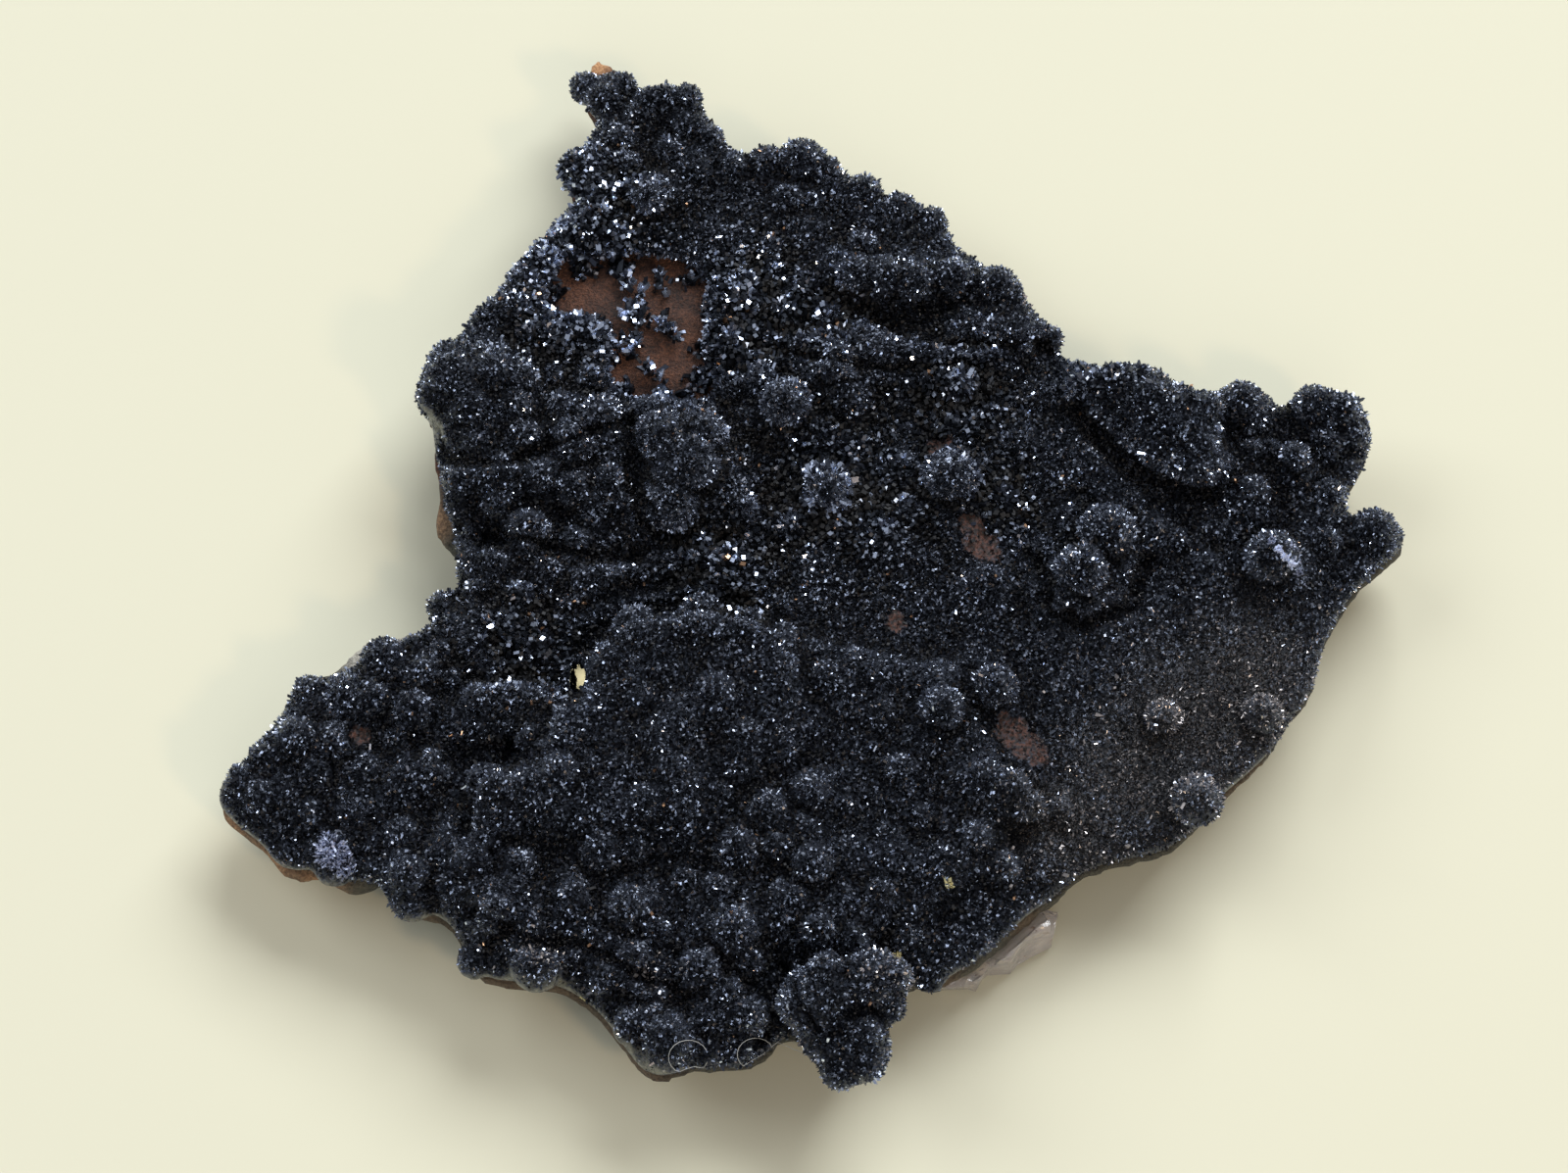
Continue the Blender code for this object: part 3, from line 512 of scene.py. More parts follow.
# the deep creases between the big forms, by where they show: points in mm, half width and depth in mm
creases = [
    ([(-31.9, -26.3), (-31.7, -22.1), (-30.1, -19.4), (-24.6, -16.0), (-24.0, -13.1), (-21.6, -11.6)],
     1.0, 1.3),
    ([(-20.4, -6.6), (-20.2, -5.6), (-16.5, -2.8), (-10.3, -1.5), (-4.8, -1.8), (0.0, -4.2)], 1.3, 1.3),
    ([(-31.8, -9.9), (-26.2, -9.5), (-22.6, -10.2)], 0.8, 0.9),
    ([(-36.2, -18.5), (-32.3, -19.0), (-25.8, -17.9)], 1.6, 1.0),
    ([(-34.7, 6.0), (-26.2, 5.4), (-20.1, 3.7), (-15.1, 3.7)], 1.1, 1.2),
    ([(-15.5, 17.3), (-15.6, 11.1), (-12.5, 6.0), (-8.5, 4.3), (-5.2, 6.0)], 0.9, 1.1),
    ([(5.7, 34.3), (13.5, 29.6), (20.7, 28.4), (27.4, 28.1)], 1.0, 1.3),
    ([(-4.1, 28.1), (4.1, 27.0), (10.3, 25.4), (18.5, 25.8)], 0.9, 1.0),
    ([(30.5, 20.8), (34.1, 15.4), (38.5, 12.0), (43.7, 10.4)], 1.1, 1.4),
    ([(25.9, 3.8), (26.8, -1.4), (30.3, -4.5), (35.4, -2.1), (37.3, 3.2)], 0.9, 1.1),
    ([(-33.0, -0.6), (-26.9, -1.8), (-21.4, -2.5), (-16.0, -0.1), (-8.0, 1.0)], 1.6, 1.0),
    ([(-30.7, -35.0), (-24.8, -38.1), (-19.1, -38.6), (-13.3, -42.1)], 0.8, 0.8),
    ([(0.0, -40.6), (1.1, -44.1), (3.2, -47.2)], 0.8, 1.1),
    ([(-36.8, 17.9), (-35.6, 14.5), (-28.5, 14.5), (-20.4, 17.9), (-16.4, 19.1)], 0.9, 0.9),
]


# where the camera sees these points on the plane the places were read on
def seenPlan(points):
    way = points - np.array(cameraPlace())
    down = (cameraLook["aim"][2] * mm - cameraPlace().z) / way[:, 2]
    return planOf(np.array(cameraPlace()) + way * down[:, None])


# the rings round the lobes' tops, a painted highlight stronger on their upper side, and the seams between
# them, pressed into the shape and also painted shade stronger on their lower side, in parts of a lobe's
# radius; stands in mm
cellLook = {
    "waver": 0.4,
    "flatStand": 0.2,
    "standSpan": 1.1,
    "between": (0.7, 0.15, 1.1),
    "seam": (1.05, 0.2),
    "seamShare": (0.45, -0.4),
    "ring": (0.72, 0.22),
    "paintedHighlightRingShare": (0.55, 0.45),
}


# how much each point lies on the ring round a lobe's top, which paints highlight, in a seam, which is pressed
# in and paints shade, and inside a lobe
def lobeCells(points, leastStand=0.0):
    x, y = seenPlan(points)
    sideways = cellLook["waver"] * np.sin(1.7 * y + 1.2 * np.sin(0.9 * x))
    upwards = cellLook["waver"] * np.sin(1.9 * x + 1.1 * np.sin(0.7 * y))
    x, y = x + sideways, y + upwards
    nearest, second = np.full(len(points), 9.0), np.full(len(points), 9.0)
    above, strength = np.zeros(len(points)), np.zeros(len(points))
    for placeX, placeY, radius, stand in [lobe for group in lobes.values() for lobe in group]:
        if stand >= leastStand:
            away = np.hypot(x - placeX, y - placeY) / radius
            second = np.minimum(second, np.maximum(nearest, away))
            above = np.where(away < nearest, (y - placeY) / radius / (away + 0.01), above)
            share = min(1.0, (stand - cellLook["flatStand"]) / cellLook["standSpan"])
            strength = np.where(away < nearest, share, strength)
            nearest = np.minimum(nearest, away)
    share, width, end = cellLook["between"]
    between = share * bell(second - nearest, width) * (nearest < end)
    (place, width), (level, lift) = cellLook["seam"], cellLook["seamShare"]
    seam = np.clip(between + (level + lift * above) * bell(nearest - place, width), 0, 1)
    (place, width), (level, lift) = cellLook["ring"], cellLook["paintedHighlightRingShare"]
    ring = (level + lift * above) * bell(nearest - place, width) * (1 - seam)
    return ring * strength, seam * strength, np.clip(4 - 4 * nearest, 0, 1)


# how deep each point lies in the creases, in mm
def creaseDepth(points):
    x, y = seenPlan(points)
    total = np.zeros(len(points))
    for line, halfWidth, depth in creases:
        for (ax, ay), (bx, by) in zip(line, line[1:]):
            along = ((x - ax) * (bx - ax) + (y - ay) * (by - ay)) / math.dist((ax, ay), (bx, by)) ** 2
            along = np.clip(along, 0, 1)
            away = np.hypot(x - ax - along * (bx - ax), y - ay - along * (by - ay))
            total = np.maximum(total, depth * bell(away, halfWidth))
    return total


crustLook = {
    "stands": {"front": 1.0, "wing": 0.9, "lowerMassRim": 0.9, "leftShelf": 1.1, "bigLobe": 1.0},
    "usualStand": 1.3,
    "baseVoxel": 0.8 * mm,
    "baseSmoothing": 5,
    "topFrom": 0.35,
    "voxel": 0.47 * mm,
    "smoothing": 2,
    "pebbleCount": 330,
    "pebbleRadius": (0.8, 1.7),
    "pebbleStand": (0.12, 0.3),
    "seamDepth": 0.3,
    "patchDepth": 0.5 * mm,
    "pressedFrom": 5 * mm,
    "wall": 0.3 * mm,
    "highest": 15.4 * mm,
    "hiddenShare": 0.72,
    # smoothing rounds and the facing that stays dark, for the painted highlight on the rims and the painted
    # shade in the creases
    "paintedShading": [(14, 0.2 * mm), (60, 0.8 * mm)],
    "paintedShadeFacing": (-0.15, -0.35, 0.92),
    "holeClearance": 3.4,
}
holePlace = (-20.8, -10.0)


def clearOfHole(x, y, clearance):
    return np.hypot(x - holePlace[0], y - holePlace[1]) > clearance


def surfaceTree(obj):
    return BVHTree.FromPolygons(pointsOf(obj).tolist(), [tuple(face.vertices) for face in obj.data.polygons])


# the balls of the lobes, as centres and radii
def lobeBalls(tree):
    balls = []
    for group, places in lobes.items():
        share = crustLook["stands"].get(group, crustLook["usualStand"])
        for x, y, radius, stand in places:
            hit, ray = seenAt(tree, x, y)
            balls.append((hit + ray * (radius - stand * share) * mm, radius * mm))
    return balls


# small pebbles strewn between the lobes, but not on the velvet or round the hole
def pebbleBalls(skin):
    dice = np.random.default_rng(7)

    def rough(middle, facing):
        x, y = planOf(middle)
        clear = clearOfHole(x, y, crustLook["holeClearance"])
        return (facing[:, 2] > 0.1) * clear * np.clip(1 - 1.6 * hills(x, y, crustZones["velvet"]), 0, 1)

    balls = []
    places, outward, _ = strewn(skin, crustLook["pebbleCount"], rough, dice)
    for place, way in zip(places, outward):
        radius, stand = dice.uniform(*crustLook["pebbleRadius"]), dice.uniform(*crustLook["pebbleStand"])
        balls.append((place - way * radius * (1 - stand) * mm, radius * mm))
    return balls


# the balls as one mesh, none of them reaching through the crust's underside
def makeBalls(balls, tree):
    bpy.ops.mesh.primitive_ico_sphere_add(subdivisions=3, radius=1.0, location=(0, 0, 0))
    ball = bpy.context.active_object
    shape, faces = pointsOf(ball), [tuple(face.vertices) for face in ball.data.polygons]
    bpy.data.objects.remove(ball, do_unlink=True)
    points, listed = [], []
    for centre, radius in balls:
        placed = shape * radius + np.array(centre)
        below = tree.ray_cast(Vector((centre[0], centre[1], -mm)), Vector((0, 0, 1)))[0]
        if below:
            placed[:, 2] = np.maximum(placed[:, 2], below.z + crustLook["wall"])
        placed[:, 2] = np.minimum(placed[:, 2], crustLook["highest"])
        listed += [tuple(corner + len(points) * len(shape) for corner in face) for face in faces]
        points.append(placed)
    mesh = bpy.data.meshes.new("balls")
    mesh.from_pydata(np.concatenate(points).tolist(), [], listed)
    return linked("balls", mesh)


# the modelled lumps of the solid are evened out on top, before the real ones are set on it
def evenTop(skin):
    upward, start = normalsOf(skin)[:, 2], crustLook["topFrom"]
    group = skin.vertex_groups.new(name="top")
    for index in np.nonzero(upward > start)[0]:
        group.add([int(index)], float(min(1.0, upward[index] * 2 - 2 * start)), "REPLACE")
    applied(skin, "SMOOTH", factor=0.7, iterations=crustLook["baseSmoothing"], vertex_group="top")
    skin.vertex_groups.clear()


# where the crust is worn down to brown, with a ragged edge
def bareness(x, y):
    bare = np.maximum(hills(x, y, crustZones["brownPit"]), hills(x, y, crustZones["brownPatch"]))
    return bare * (1 + 0.45 * np.sin(3.3 * x + 1.7 * np.sin(2.6 * y)) * np.sin(2.9 * y + 1.3))


# the edges where the crust is broken across and shows its fibres
def edgeBand(x, y):
    return np.clip(1.5 * hills(x, y, crustZones["brokenEdge"]), 0, 1)


# worn pits, creases and seams are pressed into the top
def pressTop(skin):
    points, normals = pointsOf(skin), normalsOf(skin)
    upward = np.clip(normals[:, 2] * 2, 0, 1)
    pit = hills(*planOf(points), crustZones["brownPit"]) * upward
    depth = creaseDepth(points) + crustLook["seamDepth"] * lobeCells(points)[1]
    cleft = depth * mm * upward * (points[:, 2] > crustLook["pressedFrom"])
    movePoints(skin, points - normals * (crustLook["patchDepth"] * pit + cleft)[:, None])


# the face that lies on the plate is never seen, so it needs few faces
def thinUnderside(skin):
    hidden = [int(index) for index in np.nonzero(normalsOf(skin)[:, 2] < -0.75)[0]]
    group = skin.vertex_groups.new(name="underside")
    group.add(hidden, 1.0, "REPLACE")
    applied(skin, "DECIMATE", ratio=crustLook["hiddenShare"], vertex_group="underside",
            vertex_group_factor=10.0)
    skin.vertex_groups.clear()


# painted light from the shape: how much each point gets painted highlight on the lobes' rims, most where they
# turn toward the back light, and how much painted shade in the creases and seams
def paintedShadingOf(skin):
    even = linked("evenSkin", skin.data.copy())
    points, normals, out = pointsOf(skin), normalsOf(skin), []
    for rounds, reach in crustLook["paintedShading"]:
        applied(even, "SMOOTH", factor=0.8, iterations=rounds)
        out.append(((points - pointsOf(even)) * normals).sum(axis=1) / reach)
    bpy.data.objects.remove(even, do_unlink=True)
    flank = np.clip((0.9 - normals @ np.array(crustLook["paintedShadeFacing"])) * 1.7, 0, 1)
    ring, seam, _ = lobeCells(points)
    rim = np.clip(flank * (0.7 + 1.4 * out[0]) + 0.35 * ring, 0, 1)
    crease = np.clip(-1.1 * out[0] - 1.3 * out[1] + 0.35 * creaseDepth(points) + 0.45 * seam, 0, 1)
    return rim * (1 - 0.7 * crease), crease


def makeCrustSkin():
    skin = mergedCopy("pyrolusite_crust", "crustSkin")
    applied(skin, "REMESH", mode="VOXEL", voxel_size=crustLook["baseVoxel"])
    evenTop(skin)
    tree = surfaceTree(skin)
    join(skin, makeBalls(lobeBalls(tree) + pebbleBalls(skin), tree))
    applied(skin, "REMESH", mode="VOXEL", voxel_size=crustLook["voxel"])
    applied(skin, "SMOOTH", factor=0.5, iterations=crustLook["smoothing"])
    pressTop(skin)
    thinUnderside(skin)
    x, y = planOf(pointsOf(skin))
    for name in ("velvet", "coarse"):
        keepValue(skin, name, hills(x, y, crustZones[name]))
    # painted highlight on the rims and painted shade in the creases, kept for the crust's colour and the
    # crystals' tones
    for name, values in zip(("rim", "crease"), paintedShadingOf(skin)):
        keepValue(skin, name, values)
    keepValue(skin, "bare", bareness(x, y))
    upright = np.clip(0.7 - abs(normalsOf(skin)[:, 2]) * 1.4, 0, 1)
    keepValue(skin, "side", upright * (0.25 + 0.75 * edgeBand(x, y)))
    skin.data.shade_smooth()
    skin.data.materials.append(crustMaterial())
    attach(skin, "root")
    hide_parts("pyrolusite_crust")
    print("crust skin:", len(skin.data.polygons), "faces")
    return skin


# the ground under the crystals: its facets as (size, lean), its ramps of colours, the colours of its painted
# highlight on the rims and painted shade in the creases, and its sheen
groundLook = {
    "coarse": (0.42 * mm, 2.3),
    "fine": (0.24 * mm, 2.1),
    "velvet": (0.16 * mm, 1.6),
    "steel": [(0.5, (0.009, 0.010, 0.013)), (0.72, (0.026, 0.029, 0.038)), (0.92, (0.13, 0.15, 0.20))],
    "steelPaintedHighlight": (0.15, 0.165, 0.20),
    "steelPaintedShade": (0.002, 0.002, 0.003),
    "fur": [(0.45, (0.0015, 0.0015, 0.0015)), (0.66, (0.020, 0.018, 0.018))],
    "furPaintedHighlight": (0.09, 0.09, 0.095),
    "brown": [(0.40, (0.008, 0.004, 0.003)), (0.64, (0.066, 0.022, 0.012))],
    "fibre": [(0.3, (0.15, 0.15, 0.115)), (0.7, (0.50, 0.49, 0.37))],
    "sheen": (0.08, 0.4, (0.66, 0.76, 1.0)),
}


def crustMaterial():
    sheet = Sheet("black pyrolusite ground")
    velvet, bare, side, coarse = (sheet.attribute(name) for name in ("velvet", "bare", "side", "coarse"))
    rim, crease = sheet.attribute("rim"), sheet.attribute("crease")
    blotch = sheet.noise(6 * mm, 4.0)
    grain = sheet.noise(0.35 * mm, 2.0)
    steel = sheet.ramp(sheet.cells(groundLook["fine"][0], "Color"), groundLook["steel"])
    # painted highlight on the rims, then painted shade in the creases
    steel = sheet.mixed(rim * 0.55, steel, groundLook["steelPaintedHighlight"])
    steel = sheet.mixed(crease * 0.9, steel, groundLook["steelPaintedShade"])
    # painted highlight on the rims of the velvet too
    fur = sheet.mixed(rim * 0.3, sheet.ramp(grain, groundLook["fur"]), groundLook["furPaintedHighlight"])
    brown = sheet.ramp(grain, groundLook["brown"])
    fibre = sheet.ramp(sheet.noise(0.5 * mm, 3.0, 0.6, (1, 1, 0.25)), groundLook["fibre"])
    worn = (bare * 5 - 3.6 + sheet.noise(1.1 * mm, 3.0) * 3.2).clamped()
    cut = (side * 1.2 - 0.15).clamped()
    colour = sheet.mixed(velvet * 0.75, steel, fur)
    colour = sheet.mixed(cut, colour, fibre)
    colour = sheet.mixed(worn, colour, brown)
    faces = sheet.mixed(coarse, sheet.facets(*groundLook["fine"]), sheet.facets(*groundLook["coarse"]))
    faces = sheet.mixed(velvet, faces, sheet.facets(*groundLook["velvet"]))
    sheenWeight, sheenRough, sheenTint = groundLook["sheen"]
    return sheet.finish({
        "Base Color": colour,
        "Metallic": (0.9 - 0.45 * velvet - cut - worn + 0.1 * blotch).clamped(),
        "Roughness": (0.26 + 0.3 * velvet + 0.5 * cut + 0.5 * worn).clamped(),
        "Sheen Weight": sheenWeight,
        "Sheen Roughness": sheenRough,
        "Sheen Tint": (*sheenTint, 1.0),
        "Normal": sheet.leaning(faces),
    })


# the tones of the crystals, as (colour, roughness, metallic); the crevice tone is a near-black painted shade
# for the creases
steelTones = {
    "black steel": ((0.030, 0.034, 0.043), 0.40, 0.92),
    "dark steel": ((0.080, 0.090, 0.118), 0.30, 0.92),
    "bright steel": ((0.66, 0.73, 0.88), 0.17, 0.92),
    "brown steel": ((0.010, 0.009, 0.009), 0.55, 0.6),
    "pale steel": ((0.38, 0.42, 0.56), 0.24, 0.4),
    "copper steel": ((0.50, 0.30, 0.18), 0.25, 0.92),
    "painted crevice shade": ((0.004, 0.004, 0.005), 0.6, 0.3),
    "dusty steel": ((0.42, 0.385, 0.375), 0.30, 0.75),
    "pale yellow": ((0.62, 0.56, 0.30), 0.5, 0.0),
    "white steel": ((0.70, 0.76, 0.94), 0.3, 0.0),
}


def steelMaterial(name):
    colour, rough, metallic = steelTones[name]
    sheet = Sheet(name)
    drift = sheet.noise(9 * mm, 2.0)
    darker, lighter = (tuple(channel * share for channel in colour) for share in (0.7, 1.3))
    return sheet.finish({
        "Base Color": sheet.mixed(drift, darker, lighter),
        "Metallic": metallic,
        "Roughness": rough,
    })


def steelMaterials(names):
    return [steelMaterial(name) for name in names]


# the three kinds of crystals on the crust
druseLayers = {
    "block": {
        "count": 15500, "width": (0.20 * mm, 0.38 * mm), "stretch": (1.0, 2.2), "lean": 0.42, "slant": 0.25,
        "pieces": ["blockCrystals"],
    },
    "roof": {
        "count": 64000, "width": (0.12 * mm, 0.23 * mm), "stretch": (1.1, 2.2), "lean": 0.40, "slant": 0.2,
        "pieces": ["roofCrystalsLower", "roofCrystalsMiddle", "roofCrystalsUpper"],
    },
    "tip": {
        "count": 60000, "width": (0.09 * mm, 0.18 * mm), "stretch": (1.4, 2.8), "lean": 0.35, "slant": 0.0,
        "pieces": ["crystalTips"],
    },
}
# how likely each tone is, by zone; the rim shares paint highlight on the lobes' rims, the crease shares paint
# shade in the creases, and the shares for the front paint light there
druseLook = {
    "bright": {"base": 0.115, "rim": 0.15, "coarse": 0.04, "sparkle": 0.16, "crease": 0.7, "paintedLitZone": 0.3},
    "dark": {"base": 0.07, "rim": 0.65, "paintedLitZone": 0.2, "crease": 0.2},
    "copper": 0.004,
    "velvet": 0.9,
    "velvetDust": 0.42,
    "dust": 0.5,
    "knobStand": 1.2,
    "barest": 0.96,
    "holeClearance": 1.9,
}


def druseZones(points):
    x, y = planOf(points)
    zones = {name: hills(x, y, places) for name, places in crustZones.items()}
    zones["coarse"] = zones["coarse"] * (1 - lobeCells(points, druseLook["knobStand"])[2])
    zones["bare"] = np.clip(4 * bareness(x, y) - 1.4, 0, druseLook["barest"])
    zones["broken"] = edgeBand(x, y)
    zones["clear"] = clearOfHole(x, y, druseLook["holeClearance"])
    return zones


# bright and dark steel are for the coarse places and, as painted highlight, for the rims; black and a
# near-black painted shade tone are for the creases
def tonesFor(zones, rim, crease, dice):
    count, tone = len(rim), {name: index for index, name in enumerate(steelTones)}
    bright, dark = druseLook["bright"], druseLook["dark"]
    pick = dice.random(count)
    toBright = bright["base"] + bright["rim"] * rim
    toBright = toBright + bright["coarse"] * zones["coarse"] + bright["sparkle"] * zones["sparkle"]
    toBright = toBright * (1 - bright["crease"] * crease) * (1 - bright["paintedLitZone"] * zones["paintedLitZone"])
    share = dark["base"] + dark["rim"] * rim + dark["paintedLitZone"] * zones["paintedLitZone"] - dark["crease"] * crease
    toDark = toBright + np.clip(share, 0.02, 1)
    tones = np.select([pick < toBright, pick < toDark, pick > 1 - crease],
                      [tone["bright steel"], tone["dark steel"], tone["painted crevice shade"]], tone["black steel"])
    tones = np.where(dice.random(count) < druseLook["copper"], tone["copper steel"], tones)
    furry = dice.random(count) < druseLook["velvet"] * zones["velvet"]
    fur = np.where(dice.random(count) < druseLook["velvetDust"], tone["dusty steel"], tone["brown steel"])
    tones = np.where(furry, fur, tones)
    tones = np.where(dice.random(count) < druseLook["dust"] * zones["dusty"], tone["dusty steel"], tones)
    pale = np.clip(zones["pale"] * 1.2 - 0.4, 0, 1)
    return np.where(dice.random(count) < pale, tone["pale steel"], tones)


def growLayer(kind, body, skin, paintedShading, materials, dice):
    layer = druseLayers[kind]

    def density(middle, facing):
        zones = druseZones(middle)
        up = np.clip(facing[:, 2] * 2.5 + 0.8 - 1.6 * zones["broken"], 0, 1)
        share = {
            "block": (0.12 + zones["coarse"]) * (1 - zones["velvet"]) ** 2,
            "roof": 1.0 - 0.75 * zones["velvet"],
            "tip": 0.45 + 1.6 * zones["velvet"],
        }[kind]
        return share * up * (1 - zones["bare"]) * zones["clear"] + 1e-9

    count = layer["count"]
    places, outward, spread = strewn(skin, count, density, dice)
    zones = druseZones(places)
    sizes = sizesOf(layer, count, dice) * (0.85 + 0.9 * zones["coarse"] ** 2) * (1 + 0.4 * zones["velvet"])
    tones = tonesFor(zones, *(spread(values) for values in paintedShading), dice)
    sway = (1 + 0.2 * zones["velvet"])[:, None]
    order = np.argsort(places[:, 1], kind="stable")
    for name, part in zip(layer["pieces"], np.array_split(order, len(layer["pieces"]))):
        piece = grown(name, body, places[part], outward[part], sizes[:, part], layer,
                      dice, materials, tones[part], sway[part])
        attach(piece, "root")
        print(name + ":", len(piece.data.polygons), "faces")


def growDruse(skin):
    # the painted highlight and shade from the crust's shape also choose the crystals' tones
    materials, paintedShading, dice = steelMaterials(steelTones), paintedShadingOf(skin), np.random.default_rng(23)
    bodies = {"block": makeBlockTemplate(), "roof": makeRoofTemplate(), "tip": makeTipTemplate()}
    for kind, body in bodies.items():
        growLayer(kind, body, skin, paintedShading, materials, dice)


# tufts of pale needles on the crust: where they show, radius, count and look
tufts = [
    (-44.6, -29.0, 1.6, 290, "pale steel"), (-43.4, -30.4, 1.2, 130, "pale steel"),
    (-45.2, -27.6, 0.9, 60, "pale steel"), (-45.0, -28.8, 1.0, 40, "white steel"),
    (50.1, 5.1, 0.4, 34, "pale steel"), (50.7, 4.2, 0.4, 44, "white steel"),
    (51.3, 3.3, 0.4, 48, "white steel"), (51.9, 2.5, 0.4, 44, "white steel"),
    (52.6, 1.6, 0.35, 34, "pale steel"), (2.5, 36.5, 0.8, 18, "pale steel"),
    (30.5, 23.0, 0.5, 10, "pale steel"), (-19.3, 38.6, 0.7, 14, "pale steel"),
    (-21.5, 40.4, 0.9, 14, "pale steel"), (16.2, -32.2, 0.5, 16, "pale yellow"),
    (11.0, -39.6, 0.35, 10, "pale yellow"), (-19.5, -44.2, 0.4, 8, "pale yellow"),
]
tuftLook = {
    "looks": ("pale steel", "dark steel", "pale yellow", "white steel"),
    "paleShare": 0.7,
    "fan": 0.4,
    "width": (0.12 * mm, 0.3 * mm),
    "stretch": (1.4, 3.2),
    "lean": 0.35,
    "slant": 0.2,
}


def growTufts(skin):
    tree, dice = surfaceTree(skin), np.random.default_rng(31)
    places, outward, tones, fan = [], [], [], tuftLook["fan"]
    for x, y, radius, count, look in tufts:
        for _ in range(count):
            turn, far = dice.uniform(0, 2 * math.pi), radius * math.sqrt(dice.random())
            hit = seenAt(tree, x + far * math.cos(turn), y + far * math.sin(turn))[0]
            way = Vector((fan * math.cos(turn) * far, fan * math.sin(turn) * far, 1.0)).normalized()
            places.append(tuple(hit))
            outward.append(tuple(way))
            darker = look == "pale steel" and dice.random() >= tuftLook["paleShare"]
            tones.append(tuftLook["looks"].index("dark steel" if darker else look))
    count = len(places)
    sizes = sizesOf(tuftLook, count, dice)
    piece = grown("paleTufts", makeRoofTemplate(), np.array(places), np.array(outward), sizes, tuftLook,
                  dice, steelMaterials(tuftLook["looks"]), np.array(tones))
    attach(piece, "root")
    print("pale tufts:", count, "needles")


# threads of lint on the front edge, by where they show, in mm; the rings are open by the rest of a turn
lintLook = {
    "radius": 0.03 * mm,
    "rings": [((-9.2, -49.9), 1.9), ((-2.7, -49.6), 1.8)],
    "ringPoints": 18,
    "ringTurn": (0.4, 5.6),
    "strand": [(-0.9, -49.2), (0.4, -49.6), (1.8, -50.5), (3.2, -51.6), (4.6, -53.0)],
    "above": 0.5 * mm,
    "fall": 0.4 * mm,
    "colour": (0.42, 0.42, 0.40, 1.0),
}


def layLint(skin):
    tree, threads = surfaceTree(skin), [lintLook["strand"]]
    count, (start, turned) = lintLook["ringPoints"], lintLook["ringTurn"]
    for (x, y), radius in lintLook["rings"]:
        turns = [index / (count - 1) * turned + start for index in range(count)]
        threads.append([(x + radius * math.cos(turn), y + 0.9 * radius * math.sin(turn)) for turn in turns])
    curve = bpy.data.curves.new("lint", "CURVE")
    curve.dimensions = "3D"
    curve.bevel_depth, curve.bevel_resolution = lintLook["radius"], 0
    for thread in threads:
        level, spline = 0.0, curve.splines.new("POLY")
        spline.points.add(len(thread) - 1)
        for point, (x, y) in zip(spline.points, thread):
            hit, ray = seenAt(tree, x, y)
            level = max(hit.z + lintLook["above"], level - lintLook["fall"])
            rise = (level - hit.z) / -ray.z
            point.co = (*(hit - ray * rise), 1.0)
    lint = linked("lint", curve)
    activate(lint)
    bpy.ops.object.convert(target="MESH")
    sheet = Sheet("pale lint")
    lint.data.materials.append(sheet.finish({"Base Color": lintLook["colour"], "Roughness": 0.7}))
    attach(lint, "root")
    print("lint:", len(lint.data.polygons), "faces")


# the tones of the blocky crystals in the window and round it
windowTones = ("black steel", "dark steel", "bright steel")
# loose coarse crystals on the brown plate along the rim of the window
windowRim = {
    "spots": [(-25.5, 32.5, 1.6), (-24.5, 35.0, 1.4), (-21.5, 37.5, 1.4), (-17.5, 38.2, 1.2),
              (-10.0, 36.8, 1.3), (-8.0, 33.0, 1.1), (-8.2, 28.5, 1.2), (-8.6, 25.0, 1.4), (-10.5, 22.5, 1.2),
              (-16.8, 23.5, 1.1), (-17.6, 27.0, 1.0), (-19.5, 30.4, 1.2), (-23.0, 30.6, 1.2)],
    "lowest": 5 * mm,
    "count": 620,
    "width": (0.22 * mm, 0.55 * mm),
    "stretch": (1.2, 2.4),
    "lean": 0.5,
    "slant": 0.25,
    "toneShares": (0.5, 0.35, 0.15),
}


def growWindowRim(matrix):
    dice, count = np.random.default_rng(41), windowRim["count"]

    def nearRim(middle, facing):
        near = hills(*planOf(middle), windowRim["spots"]) ** 2
        return near * np.clip(facing[:, 2], 0, 1) * (middle[:, 2] > windowRim["lowest"]) + 1e-9

    places, outward, _ = strewn(matrix, count, nearRim, dice)
    sizes = sizesOf(windowRim, count, dice)
    tones = dice.choice(len(windowTones), count, p=windowRim["toneShares"])
    piece = grown("windowRimCrystals", makeBlockTemplate(), places, outward, sizes, windowRim,
                  dice, steelMaterials(windowTones), tones)
    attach(piece, "root")
    print("window rim crystals:", count)


